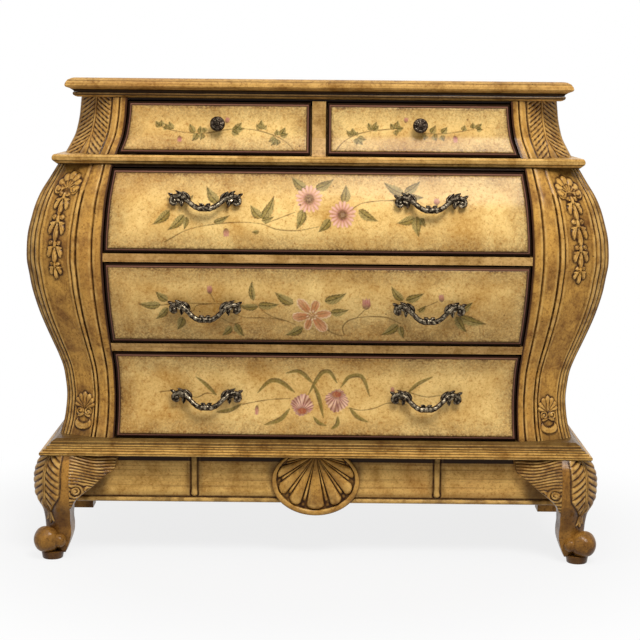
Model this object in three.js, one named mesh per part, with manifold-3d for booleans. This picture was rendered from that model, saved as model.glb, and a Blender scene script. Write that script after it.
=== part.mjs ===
// A bombe chest of drawers: two small drawers over three long ones, between corner posts that swell out and
// in again, on four curved legs. Millimetres, +Z up, +X to the viewer's right; the drawers open towards -Y.
import * as THREE from "three";
import { mergeVertices } from "three/addons/utils/BufferGeometryUtils.js";
import Module from "manifold-3d";

const wasm = await Module();
wasm.setup();

// Heights of the stages of the chest, from the floor up
const legHeight = 202.5;
const baseThick = 29.5;
const lowerCaseHeight = 521.3;
const waistThick = 18;
const upperCaseHeight = 106.4;
const corniceThick = 9.3;
const slabThick = 27;

// Plan of the case at its narrowest, and how far it swells
const caseHalfWidth = 483;
const caseDepth = 410;
const bulge = 61;
const sideBulge = 68;
const upperInset = 28; // how far the upper case stands inside the narrowest plan at its top
const upperFlare = 29; // how far the upper case flares out again, down to the waist

// Corner posts
const postWidth = 99.5;
const postSpread = 52.5; // extra width of a post where the bulge is fullest
const postDepthShare = 0.45; // depth of a post to its width
const upperPostDepthShare = 1;
const upperPostWidth = 94.5;
const upperPostSpread = 10.4;
const grooveDepth = 3.5;

// Joints, and the overrun of solids that cut or join others
const glueGap = 0.3;
const overrun = 1;

// Boards of the case
const sideThick = 15;
const sideReveal = 3;
const backThick = 6;
const railHeight = 15.5;
const railDepth = 48; // behind the narrowest front
const dustThick = 12;
const waistRailHeight = 4;
const topRailHeight = 4;
const rearRailInset = 5; // how far the black rails stand behind the case's front
const dividerHalf = 12.9;
const guideWidth = 16;
const guideHeight = 14;
const guideSetback = 60; // from the narrowest front to the drawer guides

// How far the moulded boards' tips stand out from the narrowest plan, and how deep their mouldings run
const slabProud = -6.6;
const slabMouldDepth = 17.5;
const corniceProud = -20;
const corniceMouldDepth = 9;
const waistProud = 15.5;
const waistMouldDepth = 10;
const baseProud = 42;
const baseMouldDepth = 29;

// Drawers
const frontThick = 20;
const frontProud = 6;
const frontLip = 0.6;
const frontBorder = 9.5;
const frontGap = 3;
const lowerDrawerHeight = 164;
const middleDrawerHeight = 152.3;
const boxInset = 4; // from the narrowest opening to the side of a drawer box
const boxSideThick = 12;
const boxBackThick = 12;
const boxBottomThick = 5;
const boxBottomRise = 8;
const boxGrooveDepth = 5;
const boxBackDrop = 4;
const boxRearGap = 20; // from the back panel to the back of the box
const guideGap = 1;

// Apron and its shell
const apronHeight = 95;
const apronThick = 18;
const apronProud = 5;
const beadHeight = 9.5;
const beadProud = 3.5;
const barHalfWidth = 6.5;
const barProud = 5;
const barSpacing = 232.5; // from the centre of the apron to a bar
const shellHalfWidth = 84.5;
const shellHalfHeight = 66;
const shellCentreDrop = 52.5; // from the top of the apron to the centre of the shell
const shellHinge = 6;
const shellRim = 11;
const shellGround = 5;
const shellRib = 8;
const shellRimProud = 9;
const shellRibs = 11;

// Legs
const legReach = 16; // from the narrowest plan in to the back of a leg
const kneeProud = 58.2;
const kneeCant = 60;
const ballRadius = 25;
const ballHeight = 38;
const ballOut = 31; // from the narrowest plan out to the ball of a foot
const curlRadius = 13.5;
const curlOut = 36;
const curlIn = 6.4;
const curlHeight = 37;
const padRadius = 22;
const padFoot = 19.5;
const padHeight = 15;
const padOut = 21;
const wingLength = 88;
const wingHeight = 104;
const wingTipProud = 22;
const rearLegThick = 44;

// Pulls and knobs
const pullSpacing = 208.6; // from the centre of a long drawer to a pull
const pullHalfWidth = 66.5;
const pullHalfHeight = 17;
const pullReach = 24;
const pullThick = 8.2;
const pullFootRadius = 5;
const leafLength = 22;
const leafWidth = 8;
const leafThick = 6;
const buttonRadius = 3.8;
const knobSpacing = 189.6;
const knobRadius = 14;
const knobLength = 23;

// Levels worked out from the stages
const baseTop = legHeight + baseThick;
const waistBottom = baseTop + lowerCaseHeight;
const waistTop = waistBottom + waistThick;
const corniceBottom = waistTop + upperCaseHeight;
const corniceTop = corniceBottom + corniceThick;
const lowerRailBottom = baseTop + lowerDrawerHeight + 2 * frontGap;
const lowerRailTop = lowerRailBottom + railHeight;
const upperRailBottom = lowerRailTop + middleDrawerHeight + 2 * frontGap;
const upperRailTop = upperRailBottom + railHeight;
const waistRailBottom = waistBottom - waistRailHeight;
const topRailBottom = corniceBottom - topRailHeight;

// A smooth curve through [position, value] stations, read by position
function smoothThrough(stations) {
  const slopes = stations.map((station, i) => {
    const before = stations[Math.max(i - 1, 0)];
    const after = stations[Math.min(i + 1, stations.length - 1)];
    return (after[1] - before[1]) / (after[0] - before[0]);
  });
  return (at) => {
    let i = 0;
    while (i < stations.length - 2 && at > stations[i + 1][0]) i++;
    const span = stations[i + 1][0] - stations[i][0];
    const t = (at - stations[i][0]) / span;
    const rest = 1 - t;
    const start = stations[i][1] * (1 + 2 * t) * rest * rest + slopes[i] * span * t * rest * rest;
    const end = stations[i + 1][1] * (3 - 2 * t) * t * t - slopes[i + 1] * span * t * t * rest;
    return start + end;
  };
}

// The bombe line: share of the lower case's height, share of the bulge
const bombeShares = [
  [0, 0.18], [0.04, 0.09], [0.13, 0], [0.19, 0.02], [0.26, 0.11], [0.35, 0.37], [0.443, 0.645],
  [0.535, 0.852], [0.593, 0.932], [0.652, 1], [0.738, 0.975], [0.794, 0.885], [0.85, 0.765],
  [0.907, 0.574], [0.963, 0.31], [1, 0.15],
];
// The upper case's cove: share of its height, share of the flare
const coveShares = [[0, 1], [0.13, 0.76], [0.27, 0.483], [0.42, 0.31], [0.63, 0.14], [1, 0]];
const bombeLine = smoothThrough(bombeShares);
const coveLine = smoothThrough(coveShares);
const swellShareAt = (z) => bombeLine((z - baseTop) / lowerCaseHeight);
const flareAt = (z) => upperFlare * coveLine((z - waistTop) / upperCaseHeight) - upperInset;

// The lower and the upper case, each as outer side, post width, post depth and front plane by height
const lowerCase = {
  outer: (z) => caseHalfWidth + sideBulge * swellShareAt(z),
  post: (z) => postWidth + postSpread * swellShareAt(z),
  deep: (z) => lowerCase.post(z) * postDepthShare,
  front: (z) => -(caseDepth + bulge * swellShareAt(z)),
};
const upperCase = {
  outer: (z) => caseHalfWidth + flareAt(z),
  post: (z) => upperPostWidth + upperPostSpread * ((flareAt(z) + upperInset) / upperFlare),
  deep: (z) => upperCase.post(z) * upperPostDepthShare,
  front: (z) => -(caseDepth + flareAt(z)),
};
const innerEdge = (stage, z) => stage.outer(z) - stage.post(z);
const sideInside = (stage, z) => stage.outer(z) - sideReveal - sideThick - glueGap;

const even = (from, to, steps) =>
  Array.from({ length: steps + 1 }, (_, i) => from + ((to - from) * i) / steps);
const vec = (x, y, z) => new THREE.Vector3(x, y, z);

// Indexed geometry of one closed body, turned so that its faces point out
function closed(points, faces) {
  let volume = 0;
  for (let i = 0; i < faces.length; i += 3) {
    const [a, b, c] = [points[faces[i]], points[faces[i + 1]], points[faces[i + 2]]];
    volume += a.dot(b.clone().cross(c));
  }
  const geometry = new THREE.BufferGeometry().setFromPoints(points);
  geometry.setIndex(volume < 0 ? faces.slice().reverse() : faces);
  return geometry;
}

const onPlan = (p) => new THREE.Vector2(p.x, p.y);
const onSide = (p) => new THREE.Vector2(p.y, p.z);
const onFront = (p) => new THREE.Vector2(p.x, p.z);

function capOf(ring, flatten) {
  const flat = ring.map(flatten);
  const faces = THREE.ShapeUtils.triangulateShape(flat, []);
  const area = faces.reduce((sum, f) => sum + THREE.ShapeUtils.area(f.map((i) => flat[i])), 0);
  return area > 0 ? faces : faces.map(([a, b, c]) => [a, c, b]);
}

// A solid lofted through rings of equal point counts, closed at both ends
function loft(rings, flatten = onPlan) {
  const turned = THREE.ShapeUtils.area(rings[0].map(flatten)) < 0;
  const wound = turned ? rings.map((ring) => [...ring].reverse()) : rings;
  const count = wound[0].length;
  const faces = [];
  for (let r = 0; r < wound.length - 1; r++)
    for (let i = 0; i < count; i++) {
      const a = r * count + i;
      const b = r * count + ((i + 1) % count);
      faces.push(a, b, b + count, a, b + count, a + count);
    }
  const last = (wound.length - 1) * count;
  for (const [a, b, c] of capOf(wound[0], flatten)) faces.push(a, c, b);
  for (const [a, b, c] of capOf(wound.at(-1), flatten)) faces.push(last + a, last + b, last + c);
  return closed(wound.flat(), faces);
}

// A solid between a front and a back grid of points, its faces mitred towards the four corners
function thickPatch(front, back) {
  const [rows, columns] = [front.length, front[0].length];
  const faces = [];
  const f = (r, c) => r * columns + c;
  const k = (r, c) => rows * columns + f(r, c);
  const quad = (a, b, c, d, mitred = true) =>
    mitred ? faces.push(a, b, c, a, c, d) : faces.push(a, b, d, b, c, d);
  for (let r = 0; r < rows - 1; r++)
    for (let c = 0; c < columns - 1; c++) {
      const mitred = r < (rows - 1) / 2 === c < (columns - 1) / 2;
      quad(f(r, c), f(r, c + 1), f(r + 1, c + 1), f(r + 1, c), mitred);
      quad(k(r, c), k(r + 1, c), k(r + 1, c + 1), k(r, c + 1));
    }
  for (let c = 0; c < columns - 1; c++) {
    quad(f(0, c + 1), f(0, c), k(0, c), k(0, c + 1));
    quad(f(rows - 1, c), f(rows - 1, c + 1), k(rows - 1, c + 1), k(rows - 1, c));
  }
  for (let r = 0; r < rows - 1; r++) {
    quad(f(r, 0), f(r + 1, 0), k(r + 1, 0), k(r, 0));
    quad(f(r + 1, columns - 1), f(r, columns - 1), k(r, columns - 1), k(r + 1, columns - 1));
  }
  return closed([...front.flat(), ...back.flat()], faces);
}

function box(x0, x1, y0, y1, z0, z1) {
  const geometry = new THREE.BoxGeometry(x1 - x0, y1 - y0, z1 - z0);
  return geometry.translate((x0 + x1) / 2, (y0 + y1) / 2, (z0 + z1) / 2);
}

// Prisms of an outline: in x and z running back, and in y and z running across
const prismAlongY = (outline, y0, y1) =>
  loft([y0, y1].map((y) => outline.map(([x, z]) => vec(x, y, z))), onFront);
const prismAlongX = (outline, x0, x1) =>
  loft([x0, x1].map((x) => outline.map(([y, z]) => vec(x, y, z))), onSide);

function ellipsoid(length, depth, height, turn, place, around = 6, rings = 4) {
  const geometry = new THREE.SphereGeometry(1, around, rings);
  return geometry.scale(length / 2, depth / 2, height / 2).rotateY(-turn).translate(...place);
}

function toSolid(geometry) {
  const bare = new THREE.BufferGeometry();
  bare.setAttribute("position", geometry.attributes.position.clone());
  if (geometry.index) bare.setIndex(geometry.index.clone());
  const merged = mergeVertices(bare);
  return new wasm.Manifold(new wasm.Mesh({
    numProp: 3,
    vertProperties: merged.attributes.position.array,
    triVerts: new Uint32Array(merged.index.array),
  }));
}

function toGeometry(solid) {
  const { vertProperties, triVerts } = solid.getMesh();
  const geometry = new THREE.BufferGeometry();
  geometry.setAttribute("position", new THREE.BufferAttribute(vertProperties, 3));
  return geometry.setIndex(new THREE.BufferAttribute(triVerts, 1));
}

const join = (...parts) => toGeometry(parts.map(toSolid).reduce((sum, part) => sum.add(part)));
const cut = (whole, ...tools) =>
  toGeometry(tools.map(toSolid).reduce((rest, tool) => rest.subtract(tool), toSolid(whole)));

// Finishes, in the colours of the painted and glazed wood
const finish = (color, roughness, metalness = 0) =>
  new THREE.MeshStandardMaterial({ color, roughness, metalness });
const antiqueOchre = finish(0xa8813f, 0.45);
const paintedOchre = finish(0xcda75d, 0.4);
const blackGlaze = finish(0x1c120b, 0.5);
const boxWood = finish(0xb28f62, 0.7);
const plainWood = finish(0x8a6a42, 0.8);
const agedBronze = finish(0x3b3226, 0.35, 0.9);

const chest = new THREE.Group();

function piece(name, geometry, material) {
  const mesh = new THREE.Mesh(geometry, material);
  mesh.name = name;
  chest.add(mesh);
  return mesh;
}

function pair(name, geometry, material) {
  piece(`${name}_right`, geometry, material);
  piece(`${name}_left`, geometry, material).scale.x = -1;
}

// Moulded boards. Each profile lists how deep in from the tip, and how high, as shares
const slabProfileShares = [
  [0.9, 0], [0.84, 0.1], [0.52, 0.24], [0.12, 0.34], [0, 0.45], [0.06, 0.62], [0.3, 0.84], [0.68, 0.96],
  [1, 1],
];
const corniceProfileShares = [[1, 0], [0.55, 0.12], [0.12, 0.4], [0, 0.7], [0.1, 1]];
const waistProfileShares = [
  [1, 0], [0.7, 0.12], [0.34, 0.3], [0.1, 0.42], [0, 0.62], [0.09, 0.84], [0.32, 1],
];
const baseProfileShares = [
  [0.06, 0], [0, 0.05], [0, 0.19], [0.1, 0.23], [0.2, 0.25], [0.22, 0.37], [0.32, 0.41], [0.42, 0.43],
  [0.44, 0.55], [0.54, 0.59], [0.62, 0.61], [0.7, 0.8], [1, 1],
];

// A board whose front and side edges follow a profile, square at the back
function mouldedBoard(profileShares, mouldDepth, thick, bottom, proud, back) {
  return loft(profileShares.map(([depth, height]) => {
    const offset = proud - depth * mouldDepth;
    const [x, y, z] = [caseHalfWidth + offset, -(caseDepth + offset), bottom + height * thick];
    return [vec(-x, y, z), vec(x, y, z), vec(x, back, z), vec(-x, back, z)];
  }));
}

const behindBack = -(backThick + glueGap);
const railBack = -(caseDepth - railDepth);
const boxRear = behindBack - boxRearGap;
const longBoxHalf = caseHalfWidth - postWidth - boxInset;
const smallBoxOuter = innerEdge(upperCase, corniceBottom) - boxInset;
const smallBoxInner = dividerHalf + guideGap;

// Guides that a drawer box runs between, standing on a board
function withGuides(board, boxSide, top) {
  const inner = boxSide + guideGap;
  const rightGuide = [inner, inner + guideWidth];
  const leftGuide = [-inner - guideWidth, -inner];
  const guides = [rightGuide, leftGuide].map(([x0, x1]) =>
    box(x0, x1, guideSetback - caseDepth, boxRear, top - overrun, top + guideHeight));
  return join(board, ...guides);
}

// A rail between the posts whose front follows the case's line
function railBar(stage, bottom, top, setBack, steps) {
  return loft(even(bottom, top, steps).map((z) => {
    const half = innerEdge(stage, z) - glueGap;
    const front = stage.front(z) + setBack;
    return [vec(-half, front, z), vec(half, front, z), vec(half, railBack, z), vec(-half, railBack, z)];
  }));
}

const slab = mouldedBoard(slabProfileShares, slabMouldDepth, slabThick - glueGap, corniceTop + glueGap,
  slabProud, 0);
piece("top_slab", slab, antiqueOchre);

const railSteps = 2;
const cornice = mouldedBoard(corniceProfileShares, corniceMouldDepth, corniceThick - glueGap,
  corniceBottom + glueGap, corniceProud, 0);
const topRail = railBar(upperCase, topRailBottom, corniceBottom + overrun, rearRailInset, railSteps);
piece("cornice_moulding", join(cornice, topRail), antiqueOchre);

const waistBoard = mouldedBoard(waistProfileShares, waistMouldDepth, waistThick, waistBottom, waistProud,
  behindBack);
piece("waist_moulding", withGuides(waistBoard, smallBoxOuter, waistTop), antiqueOchre);
piece("waist_rail",
  railBar(lowerCase, waistRailBottom, waistBottom - glueGap, rearRailInset, railSteps), blackGlaze);

const baseBoard = mouldedBoard(baseProfileShares, baseMouldDepth, baseThick - glueGap, legHeight + glueGap,
  baseProud, 0);
piece("base_moulding", withGuides(baseBoard, longBoxHalf, baseTop), antiqueOchre);

// Corner posts. Half of the outline runs from the front inner edge to the middle of the carved face, and the
// other half is its mirror. Stations are [in from the outer side, back from the front] as shares of the width
const lowerHalfShares = { edge: [1, 0], cant: [0.586, 0.193], reeds: [0.2, 0.47, 0.74, 1] };
const upperHalfShares = { edge: [0.85, 0], cant: [0.7, 0.05], reeds: [0, 1] };
const reedRoundShares = [[0.2, 0.35], [0.5, 0], [0.8, 0.35]];
const postStockShare = 0.24;

// The worked half outline at a post width: fillet, reeds parted by grooves, then the carved face
function halfOutline({ edge, cant, reeds }, width) {
  const from = new THREE.Vector2(...edge).multiplyScalar(width);
  const to = new THREE.Vector2(...cant).multiplyScalar(width);
  const along = to.clone().sub(from);
  const inward = new THREE.Vector2(-along.y, -along.x).negate().normalize();
  const at = (share, sunk) => from.clone().addScaledVector(along, share).addScaledVector(inward, sunk);
  const stations = [new THREE.Vector2(width, 0)];
  if (reeds[0] > 0) stations.push(at(reeds[0] - grooveDepth / along.length() / 2, 0));
  else if (edge[0] < 1) stations.push(at(-grooveDepth / along.length() / 2, 0));
  for (let i = 0; i < reeds.length - 1; i++) {
    const span = reeds[i + 1] - reeds[i];
    stations.push(at(reeds[i], grooveDepth));
    for (const [share, sunk] of reedRoundShares)
      stations.push(at(reeds[i] + share * span, sunk * grooveDepth));
  }
  stations.push(at(1, grooveDepth));
  const face = to.clone().add(new THREE.Vector2(-grooveDepth, grooveDepth).multiplyScalar(1 / 2));
  stations.push(face);
  return stations;
}

function cornerPost(stage, halfShares, bottom, top, steps) {
  return loft(even(bottom + glueGap, top - glueGap, steps).map((z) => {
    const width = stage.post(z);
    const half = halfOutline(halfShares, width);
    const other = half.map((p) => new THREE.Vector2(p.y, p.x)).reverse();
    const stock = postStockShare * width;
    const depthShare = stage.deep(z) / width;
    const worked = [...half, ...other].map((p) => new THREE.Vector2(p.x, p.y * depthShare));
    const outline = [...worked, new THREE.Vector2(stock, stage.deep(z)), new THREE.Vector2(width, stock)];
    return outline.map((p) => vec(stage.outer(z) - p.x, stage.front(z) + p.y, z));
  }));
}

const lowerSteps = 20;
const upperSteps = 6;
pair("corner_post", cornerPost(lowerCase, lowerHalfShares, baseTop, waistBottom, lowerSteps), antiqueOchre);
pair("upper_post", cornerPost(upperCase, upperHalfShares, waistTop, corniceBottom, upperSteps), antiqueOchre);

// Side panels, bent to the same line as the posts
function sidePanel(stage, bottom, top, steps) {
  return loft(even(bottom + glueGap, top - glueGap, steps).map((z) => {
    const outer = stage.outer(z) - sideReveal;
    const inner = outer - sideThick;
    const front = stage.front(z) + stage.deep(z) + glueGap;
    return [vec(inner, front, z), vec(outer, front, z), vec(outer, 0, z), vec(inner, 0, z)];
  }));
}
pair("side_panel", sidePanel(lowerCase, baseTop, waistBottom, lowerSteps), antiqueOchre);
pair("upper_side", sidePanel(upperCase, waistTop, corniceBottom, upperSteps), antiqueOchre);

// Back panel, sawn to the outline between the side panels, behind the waist
function backPanel() {
  const right = [
    ...even(baseTop + glueGap, waistBottom - glueGap, lowerSteps)
      .map((z) => [sideInside(lowerCase, z), z]),
    ...even(waistTop + glueGap, corniceBottom - glueGap, upperSteps)
      .map((z) => [sideInside(upperCase, z), z]),
  ];
  const left = right.map(([x, z]) => [-x, z]).reverse();
  return prismAlongY([...right, ...left], -backThick, 0);
}
piece("back_panel", backPanel(), plainWood);

// A web frame: the rail between two drawers, the dust panel behind it, notched round the posts, and guides
function webFrame(bottom, top) {
  const rail = railBar(lowerCase, bottom, top, 0, railSteps);
  const panel = loft([top - dustThick, top].map((z) => {
    const inner = innerEdge(lowerCase, z) - glueGap;
    const wide = sideInside(lowerCase, z);
    const notch = lowerCase.front(z) + lowerCase.deep(z) + glueGap;
    const right = [
      vec(inner, railBack - overrun, z), vec(inner, notch, z), vec(wide, notch, z), vec(wide, behindBack, z),
    ];
    return [...right, ...right.map((p) => vec(-p.x, p.y, z)).reverse()];
  }));
  return withGuides(join(rail, panel), longBoxHalf, top);
}
piece("lower_web_frame", webFrame(lowerRailBottom, lowerRailTop), antiqueOchre);
piece("upper_web_frame", webFrame(upperRailBottom, upperRailTop), antiqueOchre);

// Divider between the small drawers, notched under the top rail
function centreDivider() {
  const outline = [
    ...even(waistTop + glueGap, topRailBottom - glueGap, upperSteps).map((z) => [upperCase.front(z), z]),
    [railBack + glueGap, topRailBottom - glueGap],
    [railBack + glueGap, corniceBottom],
    [behindBack, corniceBottom],
    [behindBack, waistTop + glueGap],
  ];
  return prismAlongX(outline, -dividerHalf, dividerHalf);
}
piece("centre_divider", centreDivider(), antiqueOchre);

// Aprons between the legs: boards with a bead along the foot, and upright bars on the front one
const apronBottom = legHeight - apronHeight;
const apronFace = -(caseDepth + apronProud);
const sideApronFace = caseHalfWidth + apronProud;
const roundSteps = 5;
const beadStopShare = 0.22; // of a wing's length, where the bead stops against it

// Half round that stands out of a face at 0, as [out, along] points of its outline
const halfRound = (proud, width) => even(-Math.PI / 2, Math.PI / 2, roundSteps).map((turn) => [
  proud * Math.cos(turn), (width / 2) * (1 + Math.sin(turn))]);

function apronBar(x) {
  const foot = halfRound(barProud, 2 * barHalfWidth)
    .map(([out, along]) => [x - barHalfWidth + along, apronFace - out]);
  const outline = [...foot, [x + barHalfWidth, apronFace + overrun], [x - barHalfWidth, apronFace + overrun]];
  return loft([apronBottom + beadHeight / 2, legHeight].map((z) =>
    outline.map(([px, py]) => vec(px, py, z))));
}

function beadOutline(face) {
  const round = halfRound(beadProud, beadHeight).map(([out, along]) => [face - out, apronBottom + along]);
  return [...round, [face + overrun, apronBottom + beadHeight], [face + overrun, apronBottom]];
}

function frontApron() {
  const half = caseHalfWidth - legReach - glueGap;
  const board = box(-half, half, apronFace, apronFace + apronThick, apronBottom, legHeight);
  const beadHalf = half - wingLength * beadStopShare;
  const bead = prismAlongX(beadOutline(apronFace), -beadHalf, beadHalf);
  return join(board, bead, ...[-barSpacing, barSpacing].map(apronBar));
}
piece("front_apron", frontApron(), antiqueOchre);

function sideApron() {
  const [front, rear] = [-(caseDepth - legReach) + glueGap, -rearLegThick - glueGap];
  const board = box(sideApronFace - apronThick, sideApronFace, front, rear, apronBottom, legHeight);
  const stop = wingLength * beadStopShare;
  const bead = prismAlongY(beadOutline(-sideApronFace).map(([x, z]) => [-x, z]), front + stop, rear - stop);
  return join(board, bead);
}
pair("side_apron", sideApron(), antiqueOchre);

// Scallop shell on the front apron: ribs fan out from a hinge under the moulding to a plain round rim.
// Rows run out from the hinge, as the share of the way to the rim and of the ribs' height
const shellRowShares = [[0, 0.25], [0.35, 0.7], [0.75, 1], [0.94, 0.8], [1, 0]];
const shellRimShares = [[0.1, 1], [0.8, 1], [1, 0.55]];
const ribRoundShares = [0, 0.95, 0.95];
const ribValleyShare = 0.25;
const hingeSides = 12;

function apronShell() {
  const face = apronFace - Math.max(beadProud, barProud) - glueGap;
  const top = legHeight - glueGap;
  const drop = shellCentreDrop / shellHalfHeight;
  const reach = (turn) => {
    const down = Math.cos(turn) / shellHalfHeight;
    const size = (Math.sin(turn) / shellHalfWidth) ** 2 + down ** 2;
    return (down * drop + Math.sqrt((down * drop) ** 2 + size * (1 - drop ** 2))) / size;
  };
  const columns = shellRibs * ribRoundShares.length;
  const turns = even(-Math.PI / 2, Math.PI / 2, columns);
  const at = (turn, r, out) => vec(r * Math.sin(turn), face - out, top - r * Math.cos(turn));
  const grid = (raised) => [
    ...shellRowShares.map(([share, height]) => turns.map((turn, i) => {
      const r = shellHinge + (reach(turn) - shellRim - shellHinge) * share;
      const round = ribValleyShare + (1 - ribValleyShare) * ribRoundShares[i % ribRoundShares.length];
      return at(turn, r, raised * (shellGround + shellRib * height * round));
    })),
    ...shellRimShares.map(([share, height]) => turns.map((turn) =>
      at(turn, reach(turn) - shellRim * (1 - share), raised * shellRimProud * height))),
  ];
  const hinge = new THREE.CylinderGeometry(shellHinge, shellHinge, shellRimProud, hingeSides)
    .translate(0, face - shellRimProud / 2, top - shellHinge * Math.cos(Math.PI / hingeSides));
  return join(thickPatch(grid(1), grid(0)), hinge);
}
piece("apron_shell", apronShell(), antiqueOchre);

// Legs. Stations down a leg: share of its height, then how far the outer side, the back and the cant reach,
// as shares of the knee, of the leg's reach and of the knee's cant
const legShares = [
  [1, 0.7, 1, 0.77], [0.92, 0.86, 1, 0.88], [0.84, 0.96, 1, 0.96], [0.763, 1, 1, 1], [0.686, 0.99, 1, 0.98],
  [0.607, 0.96, 1, 0.92], [0.531, 0.87, 1, 0.8], [0.454, 0.72, 1, 0.66], [0.375, 0.65, 0.97, 0.56],
  [0.3, 0.62, 1.05, 0.52], [0.22, 0.6, 1, 0.5], [0.14, 0.55, 0.7, 0.48], [0.06, 0.5, 0.3, 0.45],
];
const cantRoundShare = 0.07;

// One plan section of a front leg, with its outer corner canted and a little rounded
function legRing([heightShare, outShare, backShare, cantShare]) {
  const out = kneeProud * outShare;
  const back = -legReach * backShare;
  const cant = kneeCant * cantShare;
  const round = cant * cantRoundShare;
  const quarter = [out - cant / 4 + round, out - (3 * cant) / 4 + round];
  const middle = out - cant / 2 + round;
  const half = [[out, back], [out, out - cant], quarter];
  const other = half.map(([dx, dy]) => [dy, dx]).reverse();
  return [...half, [middle, middle], ...other, [back, back]].map(([dx, dy]) =>
    vec(caseHalfWidth + dx, -(caseDepth + dy), legHeight * heightShare));
}

// The carved wing beside a knee: stations along it as shares of its length, and what is left of its height
const wingShares = [
  [0, 1], [0.045, 0.955], [0.092, 0.86], [0.22, 0.745], [0.474, 0.585], [0.633, 0.472], [0.807, 0.355],
  [0.95, 0.26], [1, 0.09],
];

const wingSteps = 5;
const kneeLine = smoothThrough(legShares.map(([height, out]) => [height, out]).reverse());

// A wing from where it meets the leg, its face running on from the knee's; across is how far along, and
// out is how far in front of the apron's board
function wing(place) {
  return loft(wingShares.map(([along, drop]) => {
    const low = legHeight - wingHeight * drop;
    const across = wingLength * along;
    const back = apronProud + glueGap;
    const face = even(low, legHeight, wingSteps).map((z) => {
      const knee = kneeProud * kneeLine(z / legHeight);
      return [knee + (wingTipProud - knee) * along, z];
    });
    return [[back, low], ...face, [back, legHeight]].map(([out, z]) => place(across, out, z));
  }), (p) => new THREE.Vector2(p.x + p.y, p.z));
}
const wingStart = legReach + glueGap;
const frontWing = wing((across, out, z) => vec(caseHalfWidth - wingStart - across, -(caseDepth + out), z));
const sideWing = wing((across, out, z) =>
  vec(caseHalfWidth + out, -(caseDepth - legReach - across) - overrun, z));
const rearWing = wing((across, out, z) => vec(caseHalfWidth + out, -rearLegThick - across + overrun, z));
pair("knee_block", frontWing, antiqueOchre);

function frontLeg() {
  const ball = (radius, dx, dy, height, around, rings) => ellipsoid(2 * radius, 2 * radius, 2 * radius, 0,
    [caseHalfWidth + dx, -(caseDepth + dy), height], around, rings);
  const balls = [
    ball(ballRadius, ballOut, ballOut, ballHeight, 12, 8),
    ball(curlRadius, curlOut, curlIn, curlHeight, 8, 6),
    ball(curlRadius, curlIn, curlOut, curlHeight, 8, 6),
  ];
  const pad = new THREE.CylinderGeometry(padRadius, padFoot, padHeight, 16).rotateX(Math.PI / 2)
    .translate(caseHalfWidth + padOut, -(caseDepth + padOut), padHeight / 2);
  return join(loft(legShares.map(legRing)), sideWing, ...balls, pad);
}
pair("front_leg", frontLeg(), antiqueOchre);

// Rear legs: the same outline sawn from a flat board, so that the chest stands against a wall
const padBackShare = 0.35;
function rearLeg() {
  const outer = legShares.map(([h, out]) => [caseHalfWidth + kneeProud * out, legHeight * h]);
  const inner = legShares.map(([h, , back]) => [caseHalfWidth - legReach * back, legHeight * h]);
  const foot = [
    [caseHalfWidth + padOut + padFoot, padHeight],
    [caseHalfWidth + padOut + padFoot, 0],
    [caseHalfWidth - legReach * padBackShare, 0],
    [caseHalfWidth - legReach * padBackShare, padHeight],
  ];
  const outline = [...outer.slice(0, -1), ...foot, ...inner.slice(0, -1).reverse()];
  const board = prismAlongY(outline, -rearLegThick, 0);
  return join(board, rearWing);
}
pair("rear_leg", rearLeg(), antiqueOchre);

// Drawer fronts: a raised field inside a moulded border, bent to the case's line
const borderShares = [[0, 0], [0.25, 0.35], [0.7, 0.75], [1, 1]];
const borderInsets = borderShares.map(([share]) => share * frontBorder);
function frontHeights({ bottom, top, steps }) {
  const border = borderInsets.slice(0, -1);
  const field = even(bottom + frontBorder, top - frontBorder, steps);
  return [...border.map((d) => bottom + d), ...field, ...border.map((d) => top - d).reverse()];
}

function drawerFront(spec) {
  const { stage, left, right } = spec;
  const inset = borderInsets;
  const raise = borderShares.map(([, share]) => frontLip + (frontProud - frontLip) * share);
  const heights = frontHeights(spec);
  const across = (z) => [...inset.map((d) => left(z) + d), ...inset.map((d) => right(z) - d).reverse()];
  const rank = (i, count) => Math.min(i, count - 1 - i, inset.length - 1);
  const grid = (place) => heights.map((z, r) => across(z).map((x, c, all) =>
    vec(x, place(z, raise[Math.min(rank(r, heights.length), rank(c, all.length))]), z)));
  return thickPatch(
    grid((z, proud) => stage.front(z) - proud),
    grid((z) => stage.front(z) + frontThick),
  );
}

// One drawer: its front, and a box of two sides, a back and a bottom that lies in grooves
function drawer(spec) {
  const { name, stage, bottom, top, floor, boxLeft, boxRight } = spec;
  piece(`${name}_front`, drawerFront(spec), paintedOchre);
  const boxBottom = floor + glueGap;
  const boxTop = top - frontBorder;
  const behindFront = (z) => stage.front(Math.max(z, bottom)) + frontThick + glueGap;
  const levels = [boxBottom, ...frontHeights(spec).filter((z) => z <= boxTop)];
  const outline = [...levels.map((z) => [behindFront(z), z]), [boxRear, boxTop], [boxRear, boxBottom]];
  const panelBottom = boxBottom + boxBottomRise;
  const panelTop = panelBottom + boxBottomThick;
  const panelFront = Math.max(behindFront(panelBottom), behindFront(panelTop));
  const reach = boxSideThick - boxGrooveDepth;
  const groove = box(boxLeft + reach, boxRight - reach, -2 * caseDepth, boxRear + overrun,
    panelBottom - glueGap, panelTop + glueGap);
  for (const [hand, x] of [["left", boxLeft], ["right", boxRight - boxSideThick]])
    piece(`${name}_side_${hand}`, cut(prismAlongX(outline, x, x + boxSideThick), groove), boxWood);
  const [panelLeft, panelRight] = [boxLeft + reach + glueGap, boxRight - reach - glueGap];
  piece(`${name}_bottom`, box(panelLeft, panelRight, panelFront, boxRear, panelBottom, panelTop), boxWood);
  const [backLeft, backRight] = [boxLeft + boxSideThick + glueGap, boxRight - boxSideThick - glueGap];
  const back = box(backLeft, backRight, boxRear - boxBackThick, boxRear, panelTop + glueGap,
    boxTop - boxBackDrop);
  piece(`${name}_back`, back, boxWood);
}

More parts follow.
